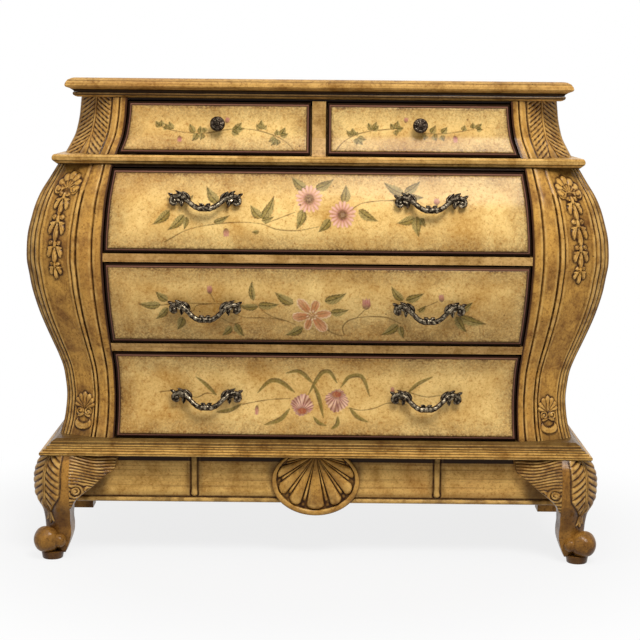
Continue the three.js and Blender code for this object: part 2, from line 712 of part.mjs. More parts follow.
// Where a fitting with the given half height sits on a drawer's face, and how it leans there
function seat(stage, x, z, halfHeight) {
  const face = (dz) => stage.front(z + dz) - frontProud;
  const slope = (face(halfHeight) - face(-halfHeight)) / (2 * halfHeight);
  const out = Math.min(...[-halfHeight, 0, halfHeight].map((dz) => face(dz) - slope * dz));
  return { place: [x, out - glueGap, z], lean: -Math.atan(slope) };
}

function fitting(name, geometry, { place, lean }) {
  const mesh = piece(name, geometry, agedBronze);
  mesh.position.set(...place);
  mesh.rotation.x = lean;
}

// A round rod along a path, with a radius for each point of the path
function rod(path, radii, sides) {
  const ahead = (i) =>
    path[Math.min(i + 1, path.length - 1)].clone().sub(path[Math.max(i - 1, 0)]).normalize();
  return loft(path.map((point, i) => {
    const along = ahead(i);
    const out = vec(0, -1, 0).addScaledVector(along, along.y).normalize();
    const level = out.clone().cross(along);
    return even(0, 2 * Math.PI, sides).slice(0, -1).map((turn) => point.clone()
      .addScaledVector(out, radii[i] * Math.cos(turn)).addScaledVector(level, radii[i] * Math.sin(turn)));
  }), onSide);
}

// Cast pull, standing out of a face at the origin towards -Y. Its right half runs from the dipping middle up
// to the foot and round into a volute: [across, up, out, thickness] as shares of the pull's sizes
const pullShares = [
  [0, -0.86, 0.9, 1.05], [0.16, -0.86, 0.92, 0.95], [0.33, -0.52, 0.88, 0.85], [0.5, 0.1, 0.72, 0.9],
  [0.65, 0.54, 0.53, 1.1], [0.81, 0.68, 0.46, 1], [0.93, 0.46, 0.44, 0.85],
  [0.955, 0.02, 0.44, 0.75], [0.87, -0.24, 0.44, 0.65], [0.79, -0.08, 0.44, 0.6],
];
const pullFootShare = [0.7, 0.42, 0.5];
const pullButtonShare = [0.85, 0.12, 0.5];
const pullLeafShare = [0.5, 0.55, 0.62];
const pullKnotShare = [0.07, -0.6, 0.98];
const pullLeafTurn = -0.9;
const pullKnotTurn = 1;

function castPull() {
  const place = ([across, up, out], hand) =>
    [hand * across * pullHalfWidth, -out * pullReach, up * pullHalfHeight];
  const right = pullShares.map((share) => vec(...place(share, 1)));
  const left = pullShares.slice(1).reverse().map((share) => vec(...place(share, -1)));
  const radii = pullShares.map(([, , , thick]) => (thick * pullThick) / 2);
  const bar = rod([...left, ...right], [...radii.slice(1).reverse(), ...radii], 6);
  const hands = [1, -1].flatMap((hand) => {
    const [x, , z] = place(pullFootShare, hand);
    const reach = pullFootShare[2] * pullReach;
    const foot = new THREE.CylinderGeometry(pullFootRadius, pullFootRadius, reach, 6)
      .translate(x, -reach / 2, z);
    const across = 2 * buttonRadius;
    const button = ellipsoid(across, pullThick * 2, across, 0, place(pullButtonShare, hand));
    const leaf = ellipsoid(leafLength, leafThick, leafWidth, hand * pullLeafTurn, place(pullLeafShare, hand));
    const knot = ellipsoid(leafLength / 2, leafThick, leafWidth / 2, hand * pullKnotTurn,
      place(pullKnotShare, hand));
    return [foot, button, leaf, knot];
  });
  return join(bar, ...hands);
}

// Turned knob, as [radius, height] shares from its base plate to the button on its face
const knobShares = [
  [0, 0], [0.64, 0], [0.64, 0.08], [0.4, 0.16], [0.32, 0.4], [0.42, 0.52], [0.9, 0.6], [1, 0.72],
  [0.94, 0.84],
  [0.66, 0.9], [0.6, 0.84], [0.34, 0.88], [0.28, 0.98], [0, 1],
];
function turnedKnob() {
  const profile = knobShares.map(([radius, height]) =>
    new THREE.Vector2(radius * knobRadius, height * knobLength));
  return new THREE.LatheGeometry(profile, 12).rotateX(Math.PI);
}

// The three long drawers, each with two pulls at a share of its front's height
const openingEdge = (z) => innerEdge(lowerCase, z) - frontGap;
const pull = castPull();
function longDrawer(name, floor, top, pullShare) {
  const bottom = floor + frontGap;
  drawer({
    name, stage: lowerCase, bottom, top, floor, steps: 6,
    left: (z) => -openingEdge(z), right: openingEdge, boxLeft: -longBoxHalf, boxRight: longBoxHalf,
  });
  const height = bottom + (top - bottom) * pullShare;
  for (const [hand, side] of [["left", -1], ["right", 1]])
    fitting(`${name}_pull_${hand}`, pull, seat(lowerCase, side * pullSpacing, height, pullHalfHeight));
}
const lowerPullShare = 0.466;
const middlePullShare = 0.454;
const upperPullShare = 0.59;
longDrawer("lower_drawer", baseTop, lowerRailBottom - frontGap, lowerPullShare);
longDrawer("middle_drawer", lowerRailTop, upperRailBottom - frontGap, middlePullShare);
longDrawer("upper_drawer", upperRailTop, waistRailBottom - frontGap, upperPullShare);

// The two small drawers, each with one knob
const knob = turnedKnob();
const knobHeightShare = 0.548;
function smallDrawer(name, side) {
  const [bottom, top] = [waistTop + frontGap, topRailBottom - frontGap];
  const edges = [() => dividerHalf + frontGap, (z) => innerEdge(upperCase, z) - frontGap];
  const boxEdges = [smallBoxInner, smallBoxOuter];
  const [left, right] = side > 0 ? edges : edges.map((edge) => (z) => -edge(z)).reverse();
  const [boxLeft, boxRight] = side > 0 ? boxEdges : boxEdges.map((edge) => -edge).reverse();
  drawer({ name, stage: upperCase, bottom, top, floor: waistTop, steps: 4, left, right, boxLeft, boxRight });
  const height = bottom + (top - bottom) * knobHeightShare;
  fitting(`${name}_knob`, knob, seat(upperCase, side * knobSpacing, height, knobRadius));
}
smallDrawer("left_small_drawer", -1);
smallDrawer("right_small_drawer", 1);

// The origin is under the middle of the whole chest, pulls included
chest.updateMatrixWorld(true);
const extent = new THREE.Box3().setFromObject(chest);
chest.position.y = -(extent.min.y + extent.max.y) / 2;

export default chest;
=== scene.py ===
import math

import bpy
import numpy as np
from mathutils import Matrix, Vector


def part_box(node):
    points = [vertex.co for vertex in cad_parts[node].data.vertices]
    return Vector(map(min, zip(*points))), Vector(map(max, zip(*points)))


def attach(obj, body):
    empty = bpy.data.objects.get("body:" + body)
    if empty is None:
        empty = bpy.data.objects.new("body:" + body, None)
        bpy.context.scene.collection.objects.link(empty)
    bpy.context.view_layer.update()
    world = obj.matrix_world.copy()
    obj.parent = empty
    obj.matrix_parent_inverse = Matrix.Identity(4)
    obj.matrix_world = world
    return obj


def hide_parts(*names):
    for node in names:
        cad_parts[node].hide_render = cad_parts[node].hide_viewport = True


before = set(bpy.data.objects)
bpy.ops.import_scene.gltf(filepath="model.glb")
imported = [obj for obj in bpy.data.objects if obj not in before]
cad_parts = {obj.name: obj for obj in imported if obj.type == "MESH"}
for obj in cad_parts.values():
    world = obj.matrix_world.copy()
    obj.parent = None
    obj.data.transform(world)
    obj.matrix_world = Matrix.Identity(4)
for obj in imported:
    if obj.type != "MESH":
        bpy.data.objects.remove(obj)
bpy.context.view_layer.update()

# The chest's own stages, read off the solids


def points_of(node):
    """A solid's points in the row frame."""
    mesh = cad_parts[node].data
    points = np.empty(len(mesh.vertices) * 3)
    mesh.vertices.foreach_get("co", points)
    return points.reshape(-1, 3)


def rows_of(node):
    """The heights at which a node has points, each with its points."""
    points = points_of(node)
    heights = points[:, 2].round(5)
    return [(z, points[heights == z]) for z in np.unique(heights)]


def smooth_through(at, values):
    """A smooth curve through values at stations, read by position."""
    at, values = np.asarray(at, float), np.asarray(values, float)
    last = len(at) - 1
    before = np.maximum(np.arange(len(at)) - 1, 0)
    after = np.minimum(np.arange(len(at)) + 1, last)
    slopes = (values[after] - values[before]) / (at[after] - at[before])

    def curve(x):
        i = np.clip(np.searchsorted(at, x, side="right") - 1, 0, last - 1)
        span = at[i + 1] - at[i]
        t = np.clip((x - at[i]) / span, 0, 1)
        start = values[i] * (1 + 2 * t) * (1 - t) ** 2 + slopes[i] * span * t * (1 - t) ** 2
        end = values[i + 1] * (3 - 2 * t) * t**2 - slopes[i + 1] * span * t**2 * (1 - t)
        return start + end

    return curve


def stage_of(post):
    """Outer side, front plane and post width by height, from a right-hand post."""
    rows = rows_of(post)
    heights = [z for z, _ in rows]
    return {
        "bottom": heights[0],
        "top": heights[-1],
        "outer": smooth_through(heights, [p[:, 0].max() for _, p in rows]),
        "front": smooth_through(heights, [p[:, 1].min() for _, p in rows]),
        "width": smooth_through(heights, [np.ptp(p[:, 0]) for _, p in rows]),
        "deep": smooth_through(heights, [np.ptp(p[:, 1]) for _, p in rows]),
    }


lower_stage = stage_of("corner_post_right")
upper_stage = stage_of("upper_post_right")
narrow_half = min(p[:, 0].max() for _, p in rows_of("corner_post_right"))
case_front = max(p[:, 1].min() for _, p in rows_of("corner_post_right"))
leg_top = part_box("base_moulding")[0].z
fine_step, glue_gap = 0.0013, 0.0003
carved_sharp, plain_sharp, eased_angle = math.radians(42), math.radians(35), math.radians(40)
eased_edge = 0.0008


# Meshes


def make_piece(name, bodies_of_mesh, material, body, replaced, marks=None):
    """One object from closed bodies of (points, faces), in the chest's frame, in place of some solids."""
    points, faces = [], []
    for some_points, some_faces in bodies_of_mesh:
        first = sum(len(p) for p in points)
        points.append(np.asarray(some_points, float))
        faces += [[first + i for i in face] for face in some_faces]
    points = np.concatenate(points)
    mesh = bpy.data.meshes.new(name)
    mesh.from_pydata(points.tolist(), [], faces)
    mesh.polygons.foreach_set("use_smooth", [True] * len(faces))
    mesh.set_sharp_from_angle(angle=carved_sharp)
    for mark, values in (marks or {}).items():
        values = np.asarray(values, np.float32)
        kind = "FLOAT" if values.ndim == 1 else "FLOAT_COLOR"
        key = "value" if values.ndim == 1 else "color"
        mesh.attributes.new(mark, kind, "POINT").data.foreach_set(key, values.ravel())
    mesh.materials.append(material)
    made = bpy.data.objects.new(name, mesh)
    bpy.context.scene.collection.objects.link(made)
    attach(made, body)
    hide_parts(*replaced)


def loft(rings):
    """A closed body through rings of equal point counts."""
    rings = np.asarray(rings, float)
    count, around = rings.shape[:2]
    i = np.arange((count - 1) * around).reshape(count - 1, around)
    j = np.roll(i, -1, axis=1)
    quads = np.stack([i, j, j + around, i + around], axis=-1).reshape(-1, 4).tolist()
    quads.append(list(range(around))[::-1])
    quads.append(list(range((count - 1) * around, count * around)))
    return outward(rings.reshape(-1, 3), quads)


def outward(points, faces):
    """The same body with its faces turned out."""
    few = np.asarray(points, float)
    total = 0.0
    for face in faces:
        ring = few[face]
        total += float(np.sum(np.cross(ring[1:-1], ring[2:]) * ring[0]))
    return (points, [face[::-1] for face in faces]) if total < 0 else (points, faces)


def edge_of(grid):
    """The values around a grid's edge, in order."""
    return np.concatenate([grid[0, :-1], grid[:-1, -1], grid[-1, :0:-1], grid[:0:-1, 0]])


def slab_of(front, back):
    """A closed body from a grid of points and a flat back given by a function of the grid's edge points."""
    rows, columns = front.shape[:2]
    i = np.arange(rows * columns).reshape(rows, columns)
    quads = np.stack([i[:-1, :-1], i[:-1, 1:], i[1:, 1:], i[1:, :-1]], axis=-1).reshape(-1, 4).tolist()
    edge = edge_of(i)
    behind = back(front.reshape(-1, 3)[edge])
    first = rows * columns
    ring = first + np.arange(len(edge))
    for k in range(len(edge)):
        n = (k + 1) % len(edge)
        quads.append([int(edge[n]), int(edge[k]), int(ring[k]), int(ring[n])])
    quads.append([int(k) for k in ring])
    return outward(np.concatenate([front.reshape(-1, 3), behind]), quads)


def mirrored(body):
    """The left-hand body of a right-hand one."""
    points, faces = body
    return np.asarray(points) * [-1, 1, 1], [face[::-1] for face in faces]


def softened(field, cells):
    """A height field blurred over about that many cells."""
    for _ in range(2):
        for axis in (0, 1):
            padded = np.pad(field, [(cells, cells) if a == axis else (0, 0) for a in (0, 1)], mode="edge")
            run = np.cumsum(padded, axis=axis)
            run = np.concatenate([np.zeros_like(run.take([0], axis)), run], axis=axis)
            n = field.shape[axis]
            high = run.take(range(2 * cells + 1, 2 * cells + 1 + n), axis)
            low = run.take(range(0, n), axis)
            field = (high - low) / (2 * cells + 1)
    return field


wear_cells, wear_depth = 2, 0.00055


def glaze_and_wear(field):
    """Where glaze gathers and where it is rubbed off, from a carved height field."""
    lift = (field - softened(field, wear_cells)) / wear_depth
    wide = (field - softened(field, 3 * wear_cells)) / (2.5 * wear_depth)
    return np.clip(-lift - 0.3 * wide, 0, 1), np.clip(lift + 0.2 * wide, 0, 1)


def step_up(value, low, high):
    """Nothing below low, one above high and a smooth rise between them."""
    t = np.clip((value - low) / (high - low), 0, 1)
    return t * t * (3 - 2 * t)


# Carving, as heights over a surface in metres


def petal(u, v, base, tip, half, height, bend=0.0, vein=0.35, blunt=0.75):
    """A carved leaf from base to tip, with a sunk vein."""
    (bu, bv), (tu, tv) = base, tip
    du, dv = tu - bu, tv - bv
    length = math.hypot(du, dv)
    t = ((u - bu) * du + (v - bv) * dv) / length**2
    s = ((u - bu) * dv - (v - bv) * du) / length
    inside = np.clip(t, 0, 1)
    s = s - bend * length * 4 * inside * (1 - inside)
    wide = half * np.sin(np.pi * np.clip(inside, 0.001, 0.999) ** blunt) ** 0.7
    round_off = np.clip(1 - (s / np.maximum(wide, 1e-6)) ** 2, 0, 1) ** 0.5
    groove = 1 - vein * np.exp(-((s / (0.22 * half)) ** 2))
    return np.where((t > 0) & (t < 1), height * round_off * groove, 0)


def scroll(u, v, centre, radius, height, hand=1, turns=1.6):
    """A volute: a raised line wound in to a button."""
    du, dv = u - centre[0], v - centre[1]
    r = np.hypot(du, dv) / radius
    turn = np.arctan2(dv, du) * hand
    line = np.cos(turn + 2 * np.pi * turns * r)
    wound = height * (0.45 + 0.55 * step_up(line, -0.3, 0.5))
    button = height * 1.2 * np.clip(1 - (r / 0.3) ** 2, 0, 1) ** 0.5
    return np.where(r < 1, np.maximum(wound * np.clip((1 - r) / 0.12, 0, 1) ** 0.5, button), 0)


def fan(u, v, centre, reach, lobes, spread, height, droop=0.0):
    """A small shell: lobes that fan up from a centre, with a scalloped edge."""
    du, dv = u - centre[0], v - centre[1]
    turn = np.arctan2(du, dv)
    share = turn / spread
    lobe = np.abs(np.cos(np.pi * lobes * share / 2))
    edge = reach * (0.86 + 0.14 * lobe) * (1 - droop * np.abs(share))
    r = np.hypot(du, dv) / edge
    dish = height * (0.35 + 0.65 * np.clip(r, 0, 1)) * (0.3 + 0.7 * lobe**0.6)
    inside = (np.abs(share) < 1) & (r < 1)
    return np.where(inside, dish * np.clip((1 - r) / 0.1, 0, 1) ** 0.5, 0)


def over(*fields):
    """At each place, the highest of several fields."""
    return np.maximum.reduce(fields)


def husk(u, v, top, bottom, half, height):
    """One bellflower of a drop: three round-ended petals, two small ears and a curl at each shoulder."""
    length = top - bottom
    middle = petal(u, v, (0, top - 0.25 * length), (0, bottom - 0.02 * length), 0.3 * half,
                   1.2 * height, vein=0.4, blunt=1.4)
    sides = [
        petal(u, v, (hand * 0.08 * half, top - 0.22 * length), (hand * 0.8 * half, bottom + 0.26 * length),
              0.27 * half, height, bend=-0.15 * hand, vein=0.45, blunt=1.4)
        for hand in (-1, 1)
    ]
    ears = [
        petal(u, v, (hand * 0.1 * half, top - 0.2 * length), (hand * 0.98 * half, top - 0.3 * length),
              0.2 * half, 0.9 * height, bend=0.16 * hand, blunt=1.3)
        for hand in (-1, 1)
    ]
    curls = [
        scroll(u, v, (hand * 0.5 * half, top - 0.06 * length), 0.27 * half, 0.8 * height, hand, 1.1)
        for hand in (-1, 1)
    ]
    bud = petal(
        u, v, (0, top - 0.3 * length), (0, top + 0.04 * length), 0.24 * half, height, vein=0, blunt=1.2)
    return over(middle, bud, *sides, *ears, *curls)


# How far along a post's outline its grooves lie from the middle of its carved face, in widths of the post
lower_grooves = (-0.4934, -0.2874, -0.2155, 0.24, 0.325, 0.411)
upper_grooves = (-0.6177, -0.4596, 0.4596, 0.6177)
lower_face_middle, upper_face_middle = 0.6385, 0.7677
groove_depth, groove_half, reed_height = 0.003, 0.0018, 0.0011
carving_height, ground_sink = 0.0042, 0.0007

# Places of the carving above the post's foot, from the shell down to the crescent
post_foot = lower_stage["bottom"]
shell_foot = post_foot + 0.4767
shell_reach, shell_half_angle, shell_dish = 0.031, 1.85, 0.0016
volute_radius, volute_apart, volute_drop = 0.0085, 0.0165, 0.003
groove_end, carving_end = shell_foot - 0.001, shell_foot - 0.009
drop_levels = carving_end - np.array([0, 0.042, 0.09, 0.13, 0.16])
drop_half, drop_shares = 0.0165, (0.9, 1, 0.98, 0.8)
palmette_bottom, palmette_tall, palmette_half = post_foot + 0.0352, 0.0505, 0.0185
palmette_heart = palmette_bottom + 0.36 * palmette_tall
palmette_scroll_apart, palmette_scroll_drop, palmette_scroll_radius = 0.0088, 0.0062, 0.0078
palmette_petal_long, palmette_petal_half, palmette_petal_foot = 0.019, 0.0032, 0.001
low_petal_drop, low_petal_apart, low_petal_fall, low_petal_half = 0.012, 0.014, 0.0045, 0.0028
crescent_z, crescent_half, crescent_height = post_foot + 0.0197, 0.018, 0.0032
crescent_middle, bite_middle = crescent_z + 0.004, crescent_z + 0.012


def grooves_at(u, width, shares, fade):
    """Grooves that part the reeds beside a carved face, and the round of each reed."""
    across = u / width
    carved = np.zeros_like(u)
    for share in shares:
        fades = fade if abs(share) < 0.3 else 1
        carved -= groove_depth * fades * np.exp(-(((across - share) * width / groove_half) ** 2))
    for low, high in zip(shares[:-1], shares[1:]):
        if low * high > 0:
            t = np.clip((across - low) / (high - low), 0, 1)
            carved += reed_height * np.sin(np.pi * t) * ((across > low) & (across < high))
    return carved


def lower_post_carving(u, z, width):
    """A shell with volutes, a drop of husks, a palmette and a crescent, between grooves."""
    fade = 1 - step_up(z, carving_end, groove_end)
    carved = grooves_at(u, width, lower_grooves, fade)
    carved -= ground_sink * (1 - step_up(np.abs(u) / width, 0.17, 0.2)) * fade
    shell = fan(u, z, (0, shell_foot), shell_reach, 7, shell_half_angle, carving_height, droop=0.22)
    shell -= shell_dish * fan(u, z, (0, shell_foot), 0.55 * shell_reach, 5, 1.5, 1.0, droop=0.1)
    volutes = [
        scroll(u, z, (hand * volute_apart, shell_foot - volute_drop), volute_radius, carving_height, hand)
        for hand in (-1, 1)
    ]
    drops = [
        husk(u, z, top, bottom, drop_half * share, carving_height)
        for top, bottom, share in zip(drop_levels[:-1], drop_levels[1:], drop_shares)
    ]
    petal_foot = palmette_heart + palmette_petal_foot
    leaves = [
        fan(u, z, (0, palmette_heart), 1.72 * palmette_half, 7, 1.45, 0.85 * carving_height, droop=0.34),
        petal(u, z, (0, petal_foot), (0, petal_foot + palmette_petal_long), palmette_petal_half,
              carving_height, blunt=1.2),
    ]
    low_foot = palmette_heart - low_petal_drop
    for hand in (-1, 1):
        curl = (hand * palmette_scroll_apart, palmette_heart - palmette_scroll_drop)
        leaves.append(scroll(u, z, curl, palmette_scroll_radius, 0.85 * carving_height, hand, 1.4))
        tip = (hand * low_petal_apart, low_foot - low_petal_fall)
        leaves.append(petal(u, z, (0, low_foot), tip, low_petal_half, 0.7 * carving_height, blunt=1.2))
    moon = np.hypot(u, (z - crescent_middle) * 1.5) / crescent_half
    bite = np.hypot(u, (z - bite_middle) * 1.5) / crescent_half
    rounded = crescent_height * np.clip((1 - moon) / 0.16, 0, 1) ** 0.5
    crescent = np.where((moon < 1) & (bite > 0.72), rounded, 0)
    return carved + over(shell, *volutes, *drops, *leaves, crescent)


acanthus_share, acanthus_pitch, acanthus_sweep, acanthus_height = 0.44, 0.0086, 0.024, 0.004
acanthus_rib, rib_flare, flare_tall, acanthus_sink = 0.0034, 2.4, 0.035, 0.0014
leaflet_waver = 0.0008


def upper_post_carving(u, z, width):
    """Leaflets that sweep out and down from a rib, which flares at its foot."""
    across = np.clip(np.abs(u) / (acanthus_share * width), 0, 1)
    waver = leaflet_waver * np.sin(40 * across + 900 * z)
    edge = np.abs(np.sin(np.pi * (z + acanthus_sweep * across**0.85 + waver) / acanthus_pitch)) ** 0.55
    bottom = upper_stage["bottom"]
    rib_half = acanthus_rib * (1 + rib_flare * (1 - step_up(z, bottom, bottom + flare_tall)))
    ridge = np.clip(1 - (np.abs(u) / rib_half) ** 2, 0, 1) ** 0.5
    blades = acanthus_height * (0.25 + 0.75 * edge) * step_up(np.abs(u), 0.6 * rib_half, 1.5 * rib_half)
    leaf = over(blades, 1.15 * acanthus_height * ridge) - acanthus_sink
    inside = np.abs(u) / width < acanthus_share
    return grooves_at(u, width, upper_grooves, 1) + np.where(inside, leaf, 0)


# How far painted shade runs in from a post's ends, by the mouldings
end_shade_reach = 0.02


def carved_post(stage, plan, face_middle, carving):
    """Points, faces and marks of a right-hand post with its carved outline."""
    plan = np.array(plan)
    runs = np.concatenate([[0], np.cumsum(np.hypot(*np.diff(plan, axis=0).T))])
    columns = int(runs[-1] * stage["width"](stage["bottom"]) * 1.3 / fine_step)
    s = np.linspace(0, runs[-1], columns)
    a, b = np.interp(s, runs, plan[:, 0]), np.interp(s, runs, plan[:, 1])
    ta, tb = np.gradient(a, s), np.gradient(b, s)
    blur = np.ones(7) / 7
    ta, tb = (np.convolve(np.pad(t, 3, mode="edge"), blur, mode="valid") for t in (ta, tb))
    size = np.hypot(ta, tb)
    na, nb = -tb / size, ta / size
    z = np.linspace(stage["bottom"], stage["top"], int((stage["top"] - stage["bottom"]) / fine_step))[:, None]
    width, deep = stage["width"](z), stage["deep"](z)
    u = (s - face_middle)[None, :] * width
    lift = carving(u, z + 0 * u, width + 0 * u)
    x = stage["outer"](z) - a * width - na * lift
    y = stage["front"](z) + b * width + nb * lift
    stock = 0.24 * width
    back_x = np.concatenate([stage["outer"](z) - stock, stage["outer"](z) - width], axis=1)
    back_y = np.concatenate([stage["front"](z) + deep, stage["front"](z) + stock], axis=1)
    rings = np.stack([
        np.concatenate([x, back_x], axis=1),
        np.concatenate([y, back_y], axis=1),
        np.broadcast_to(z, (len(z), columns + 2)),
    ], axis=-1)
    recess, crest = glaze_and_wear(lift)
    # Painted shade: at the post's ends by the mouldings, a near black painted shadow along its inner edge by
    # the drawers, and deeper towards its outer side
    ends = np.minimum(z - stage["bottom"], stage["top"] - z)
    run = (s / runs[-1])[None, :]
    painted_end_shade = 0.6 * (1 - step_up(ends, 0, end_shade_reach))
    inner_edge_shadow = over(0.55 * (1 - step_up(run, 0.0, 0.05)), 1.5 * (1 - step_up(run, 0.012, 0.034)))
    shade = over(painted_end_shade + 0 * run, over(inner_edge_shadow, 0.75 * step_up(run, 0.72, 1)) + 0 * z)
    pad = lambda field: np.pad(field, [(0, 0), (0, 2)]).ravel()
    return loft(rings), {"recess": pad(recess), "crest": pad(crest), "shade": pad(shade)}


# Node groups


def paint_of(code):
    """A colour written as six hexadecimal digits, for a shader's socket."""
    channels = [int(code[i:i + 2], 16) / 255 for i in (0, 2, 4)]
    return tuple(c / 12.92 if c <= 0.04045 else ((c + 0.055) / 1.055) ** 2.4 for c in channels) + (1.0,)


def fill_in(tree, node, inputs):
    """Each named socket takes a link or a plain value."""
    for name, value in dict(inputs).items():
        if isinstance(value, bpy.types.NodeSocket):
            tree.links.new(value, node.inputs[name])
        else:
            node.inputs[name].default_value = value


def add(tree, kind, inputs=(), **settings):
    """A shader node with its settings and inputs."""
    node = tree.nodes.new("ShaderNode" + kind)
    for name, value in settings.items():
        setattr(node, name, value)
    fill_in(tree, node, inputs)
    return node


def mix(tree, factor, first, second, blend_type="MIX"):
    """One colour laid over another, as far as the factor says."""
    made = add(tree, "Mix", {0: factor, 6: first, 7: second}, data_type="RGBA", blend_type=blend_type)
    return made.outputs[2]


def calc(tree, operation, first, second=0.0):
    """A sum, a product or the like of two values."""
    return add(tree, "Math", {0: first, 1: second}, operation=operation).outputs[0]


def spread(tree, value, low, high, to_low=0.0, to_high=1.0):
    """A smooth rise from one value to another while the input goes from low to high."""
    inputs = {"Value": value, "From Min": low, "From Max": high, "To Min": to_low, "To Max": to_high}
    return add(tree, "MapRange", inputs, interpolation_type="SMOOTHSTEP").outputs[0]


def noise(tree, where, scale, detail=4.0, roughness=0.55, distortion=0.0):
    """Soft random clouds, from 0 to 1."""
    inputs = {"Scale": scale, "Detail": detail, "Roughness": roughness, "Distortion": distortion}
    return add(tree, "TexNoise", {"Vector": where, **inputs}).outputs[0]


def on_surface(tree, stretch=(1, 1, 1)):
    """Where a point is on the chest, stretched along the axes."""
    where = add(tree, "TexCoord").outputs["Object"]
    return add(tree, "Mapping", {"Vector": where, "Scale": stretch}).outputs[0]


def mark(tree, name):
    """A value carried by the mesh, such as the glaze in its hollows."""
    return add(tree, "Attribute", attribute_name=name).outputs["Fac"]


white, black_tone = (1, 1, 1, 1), (0, 0, 0, 1)


def new_group(name, inputs, outputs):
    """A node group with named sockets: its tree, what it is given and what it puts out."""
    tree = bpy.data.node_groups.new(name, "ShaderNodeTree")
    for label, kind, value in inputs:
        socket = tree.interface.new_socket(label, in_out="INPUT", socket_type="NodeSocket" + kind)
        socket.default_value = value
    for label, kind in outputs:
        tree.interface.new_socket(label, in_out="OUTPUT", socket_type="NodeSocket" + kind)
    return tree, tree.nodes.new("NodeGroupInput").outputs, tree.nodes.new("NodeGroupOutput").inputs


def use(tree, group, inputs):
    """A group placed in a tree with its own values."""
    node = tree.nodes.new("ShaderNodeGroup")
    node.node_tree = group
    fill_in(tree, node, inputs)
    return node.outputs


def mottled_paint_group():
    """Cloudy paint with a fine grain, between a light and a deep tone."""
    tree, given, result = new_group(
        "mottled_paint",
        [("Light", "Color", white), ("Deep", "Color", black_tone), ("Warm", "Color", white),
         ("Cloud size", "Float", 14.0)],
        [("Color", "Color"), ("Height", "Float")],
    )
    where = on_surface(tree)
    clouds = noise(tree, where, given["Cloud size"], 6, 0.62, 0.4)
    patches = noise(tree, where, 4.5, 3, 0.5)
    grain = noise(tree, where, 330, 3, 0.7)
    blotch = noise(tree, where, 62, 5, 0.7, 0.6)
    tone = mix(tree, spread(tree, clouds, 0.26, 0.64), given["Deep"], given["Light"])
    tone = mix(tree, spread(tree, patches, 0.5, 0.72, 0, 0.4), tone, given["Warm"])
    tone = mix(tree, spread(tree, blotch, 0.46, 0.7, 0, 0.42), tone, given["Deep"])
    tone = mix(tree, spread(tree, grain, 0.5, 0.66, 0.0, 0.3), tone, given["Deep"], "MULTIPLY")
    stipple = noise(tree, where, 190, 2, 0.6)
    tone = mix(tree, spread(tree, stipple, 0.52, 0.7, 0.0, 0.3), tone, given["Light"])
    tone = mix(tree, spread(tree, stipple, 0.47, 0.3, 0.0, 0.45), tone, given["Deep"], "MULTIPLY")
    tree.links.new(tone, result["Color"])
    height = calc(tree, "ADD", calc(tree, "MULTIPLY", blotch, 0.6), calc(tree, "MULTIPLY", grain, 0.4))
    tree.links.new(height, result["Height"])
    return tree


def gathered_glaze_group():
    """Brown glaze left in hollows, thin in places, and paint rubbed pale on the crests."""
    tree, given, result = new_group(
        "gathered_glaze",
        [("Color", "Color", white), ("Dark tone", "Color", black_tone), ("Rubbed", "Color", white),
         ("Recess", "Float", 0.0), ("Crest", "Float", 0.0), ("Strength", "Float", 1.0)],
        [("Color", "Color")],
    )
    where = on_surface(tree)
    thin = spread(tree, noise(tree, where, 70, 4, 0.6), 0.25, 0.6, 0.55, 1.0)
    depth = calc(tree, "MULTIPLY", calc(tree, "POWER", given["Recess"], 0.8), given["Strength"])
    glazed = mix(tree, calc(tree, "MULTIPLY", depth, thin), given["Color"], given["Dark tone"])
    worn = spread(tree, noise(tree, where, 45, 3, 0.6), 0.35, 0.65, 0.1, 0.75)
    rubbed = mix(tree, calc(tree, "MULTIPLY", given["Crest"], worn), glazed, given["Rubbed"])
    tree.links.new(rubbed, result["Color"])
    return tree


def fly_specks_group():
    """Sparse dark specks flicked on with a brush."""
    tree, given, result = new_group(
        "fly_specks",
        [("Color", "Color", white), ("Speck", "Color", black_tone), ("Spacing", "Float", 70.0),
         ("Share", "Float", 0.35)],
        [("Color", "Color")],
    )
    where = on_surface(tree)
    cells = add(tree, "TexVoronoi", {"Vector": where, "Scale": given["Spacing"], "Randomness": 1.0})
    size = add(tree, "SeparateColor", {"Color": cells.outputs["Color"]})
    reach = calc(tree, "MULTIPLY", size.outputs["Red"], 0.13)
    dot = spread(tree, calc(tree, "SUBTRACT", cells.outputs["Distance"], reach), 0.03, -0.02)
    chosen = calc(tree, "LESS_THAN", size.outputs["Green"], given["Share"])
    flick = calc(tree, "MULTIPLY", calc(tree, "MULTIPLY", dot, chosen), 0.75)
    tree.links.new(mix(tree, flick, given["Color"], given["Speck"]), result["Color"])
    return tree


def fine_crazing_group():
    """Hair cracks in old varnish."""
    tree, given, result = new_group(
        "fine_crazing", [("Cell size", "Float", 95.0)], [("Crack", "Float")])
    where = on_surface(tree)
    place = {"Vector": where, "Scale": given["Cell size"]}
    cells = add(tree, "TexVoronoi", place, feature="DISTANCE_TO_EDGE")
    line = spread(tree, cells.outputs["Distance"], 0.045, 0.0)
    broken = spread(tree, noise(tree, where, 18, 3), 0.45, 0.62)
    tree.links.new(calc(tree, "MULTIPLY", line, broken), result["Crack"])
    return tree


def brushed_streaks_group():
    """Streaks of glaze dragged along a moulding."""
    tree, given, result = new_group(
        "brushed_streaks",
        [("Color", "Color", white), ("Dark tone", "Color", black_tone), ("Amount", "Float", 0.4),
         ("Stretch", "Vector", (3, 3, 260))],
        [("Color", "Color")],
    )
    along = on_surface(tree, given["Stretch"])
    drag = spread(tree, noise(tree, along, 1.0, 4, 0.65), 0.48, 0.72)
    amount = calc(tree, "MULTIPLY", drag, given["Amount"])
    tree.links.new(mix(tree, amount, given["Color"], given["Dark tone"]), result["Color"])
    return tree


line_waver, line_fade = 0.0012, 0.0009


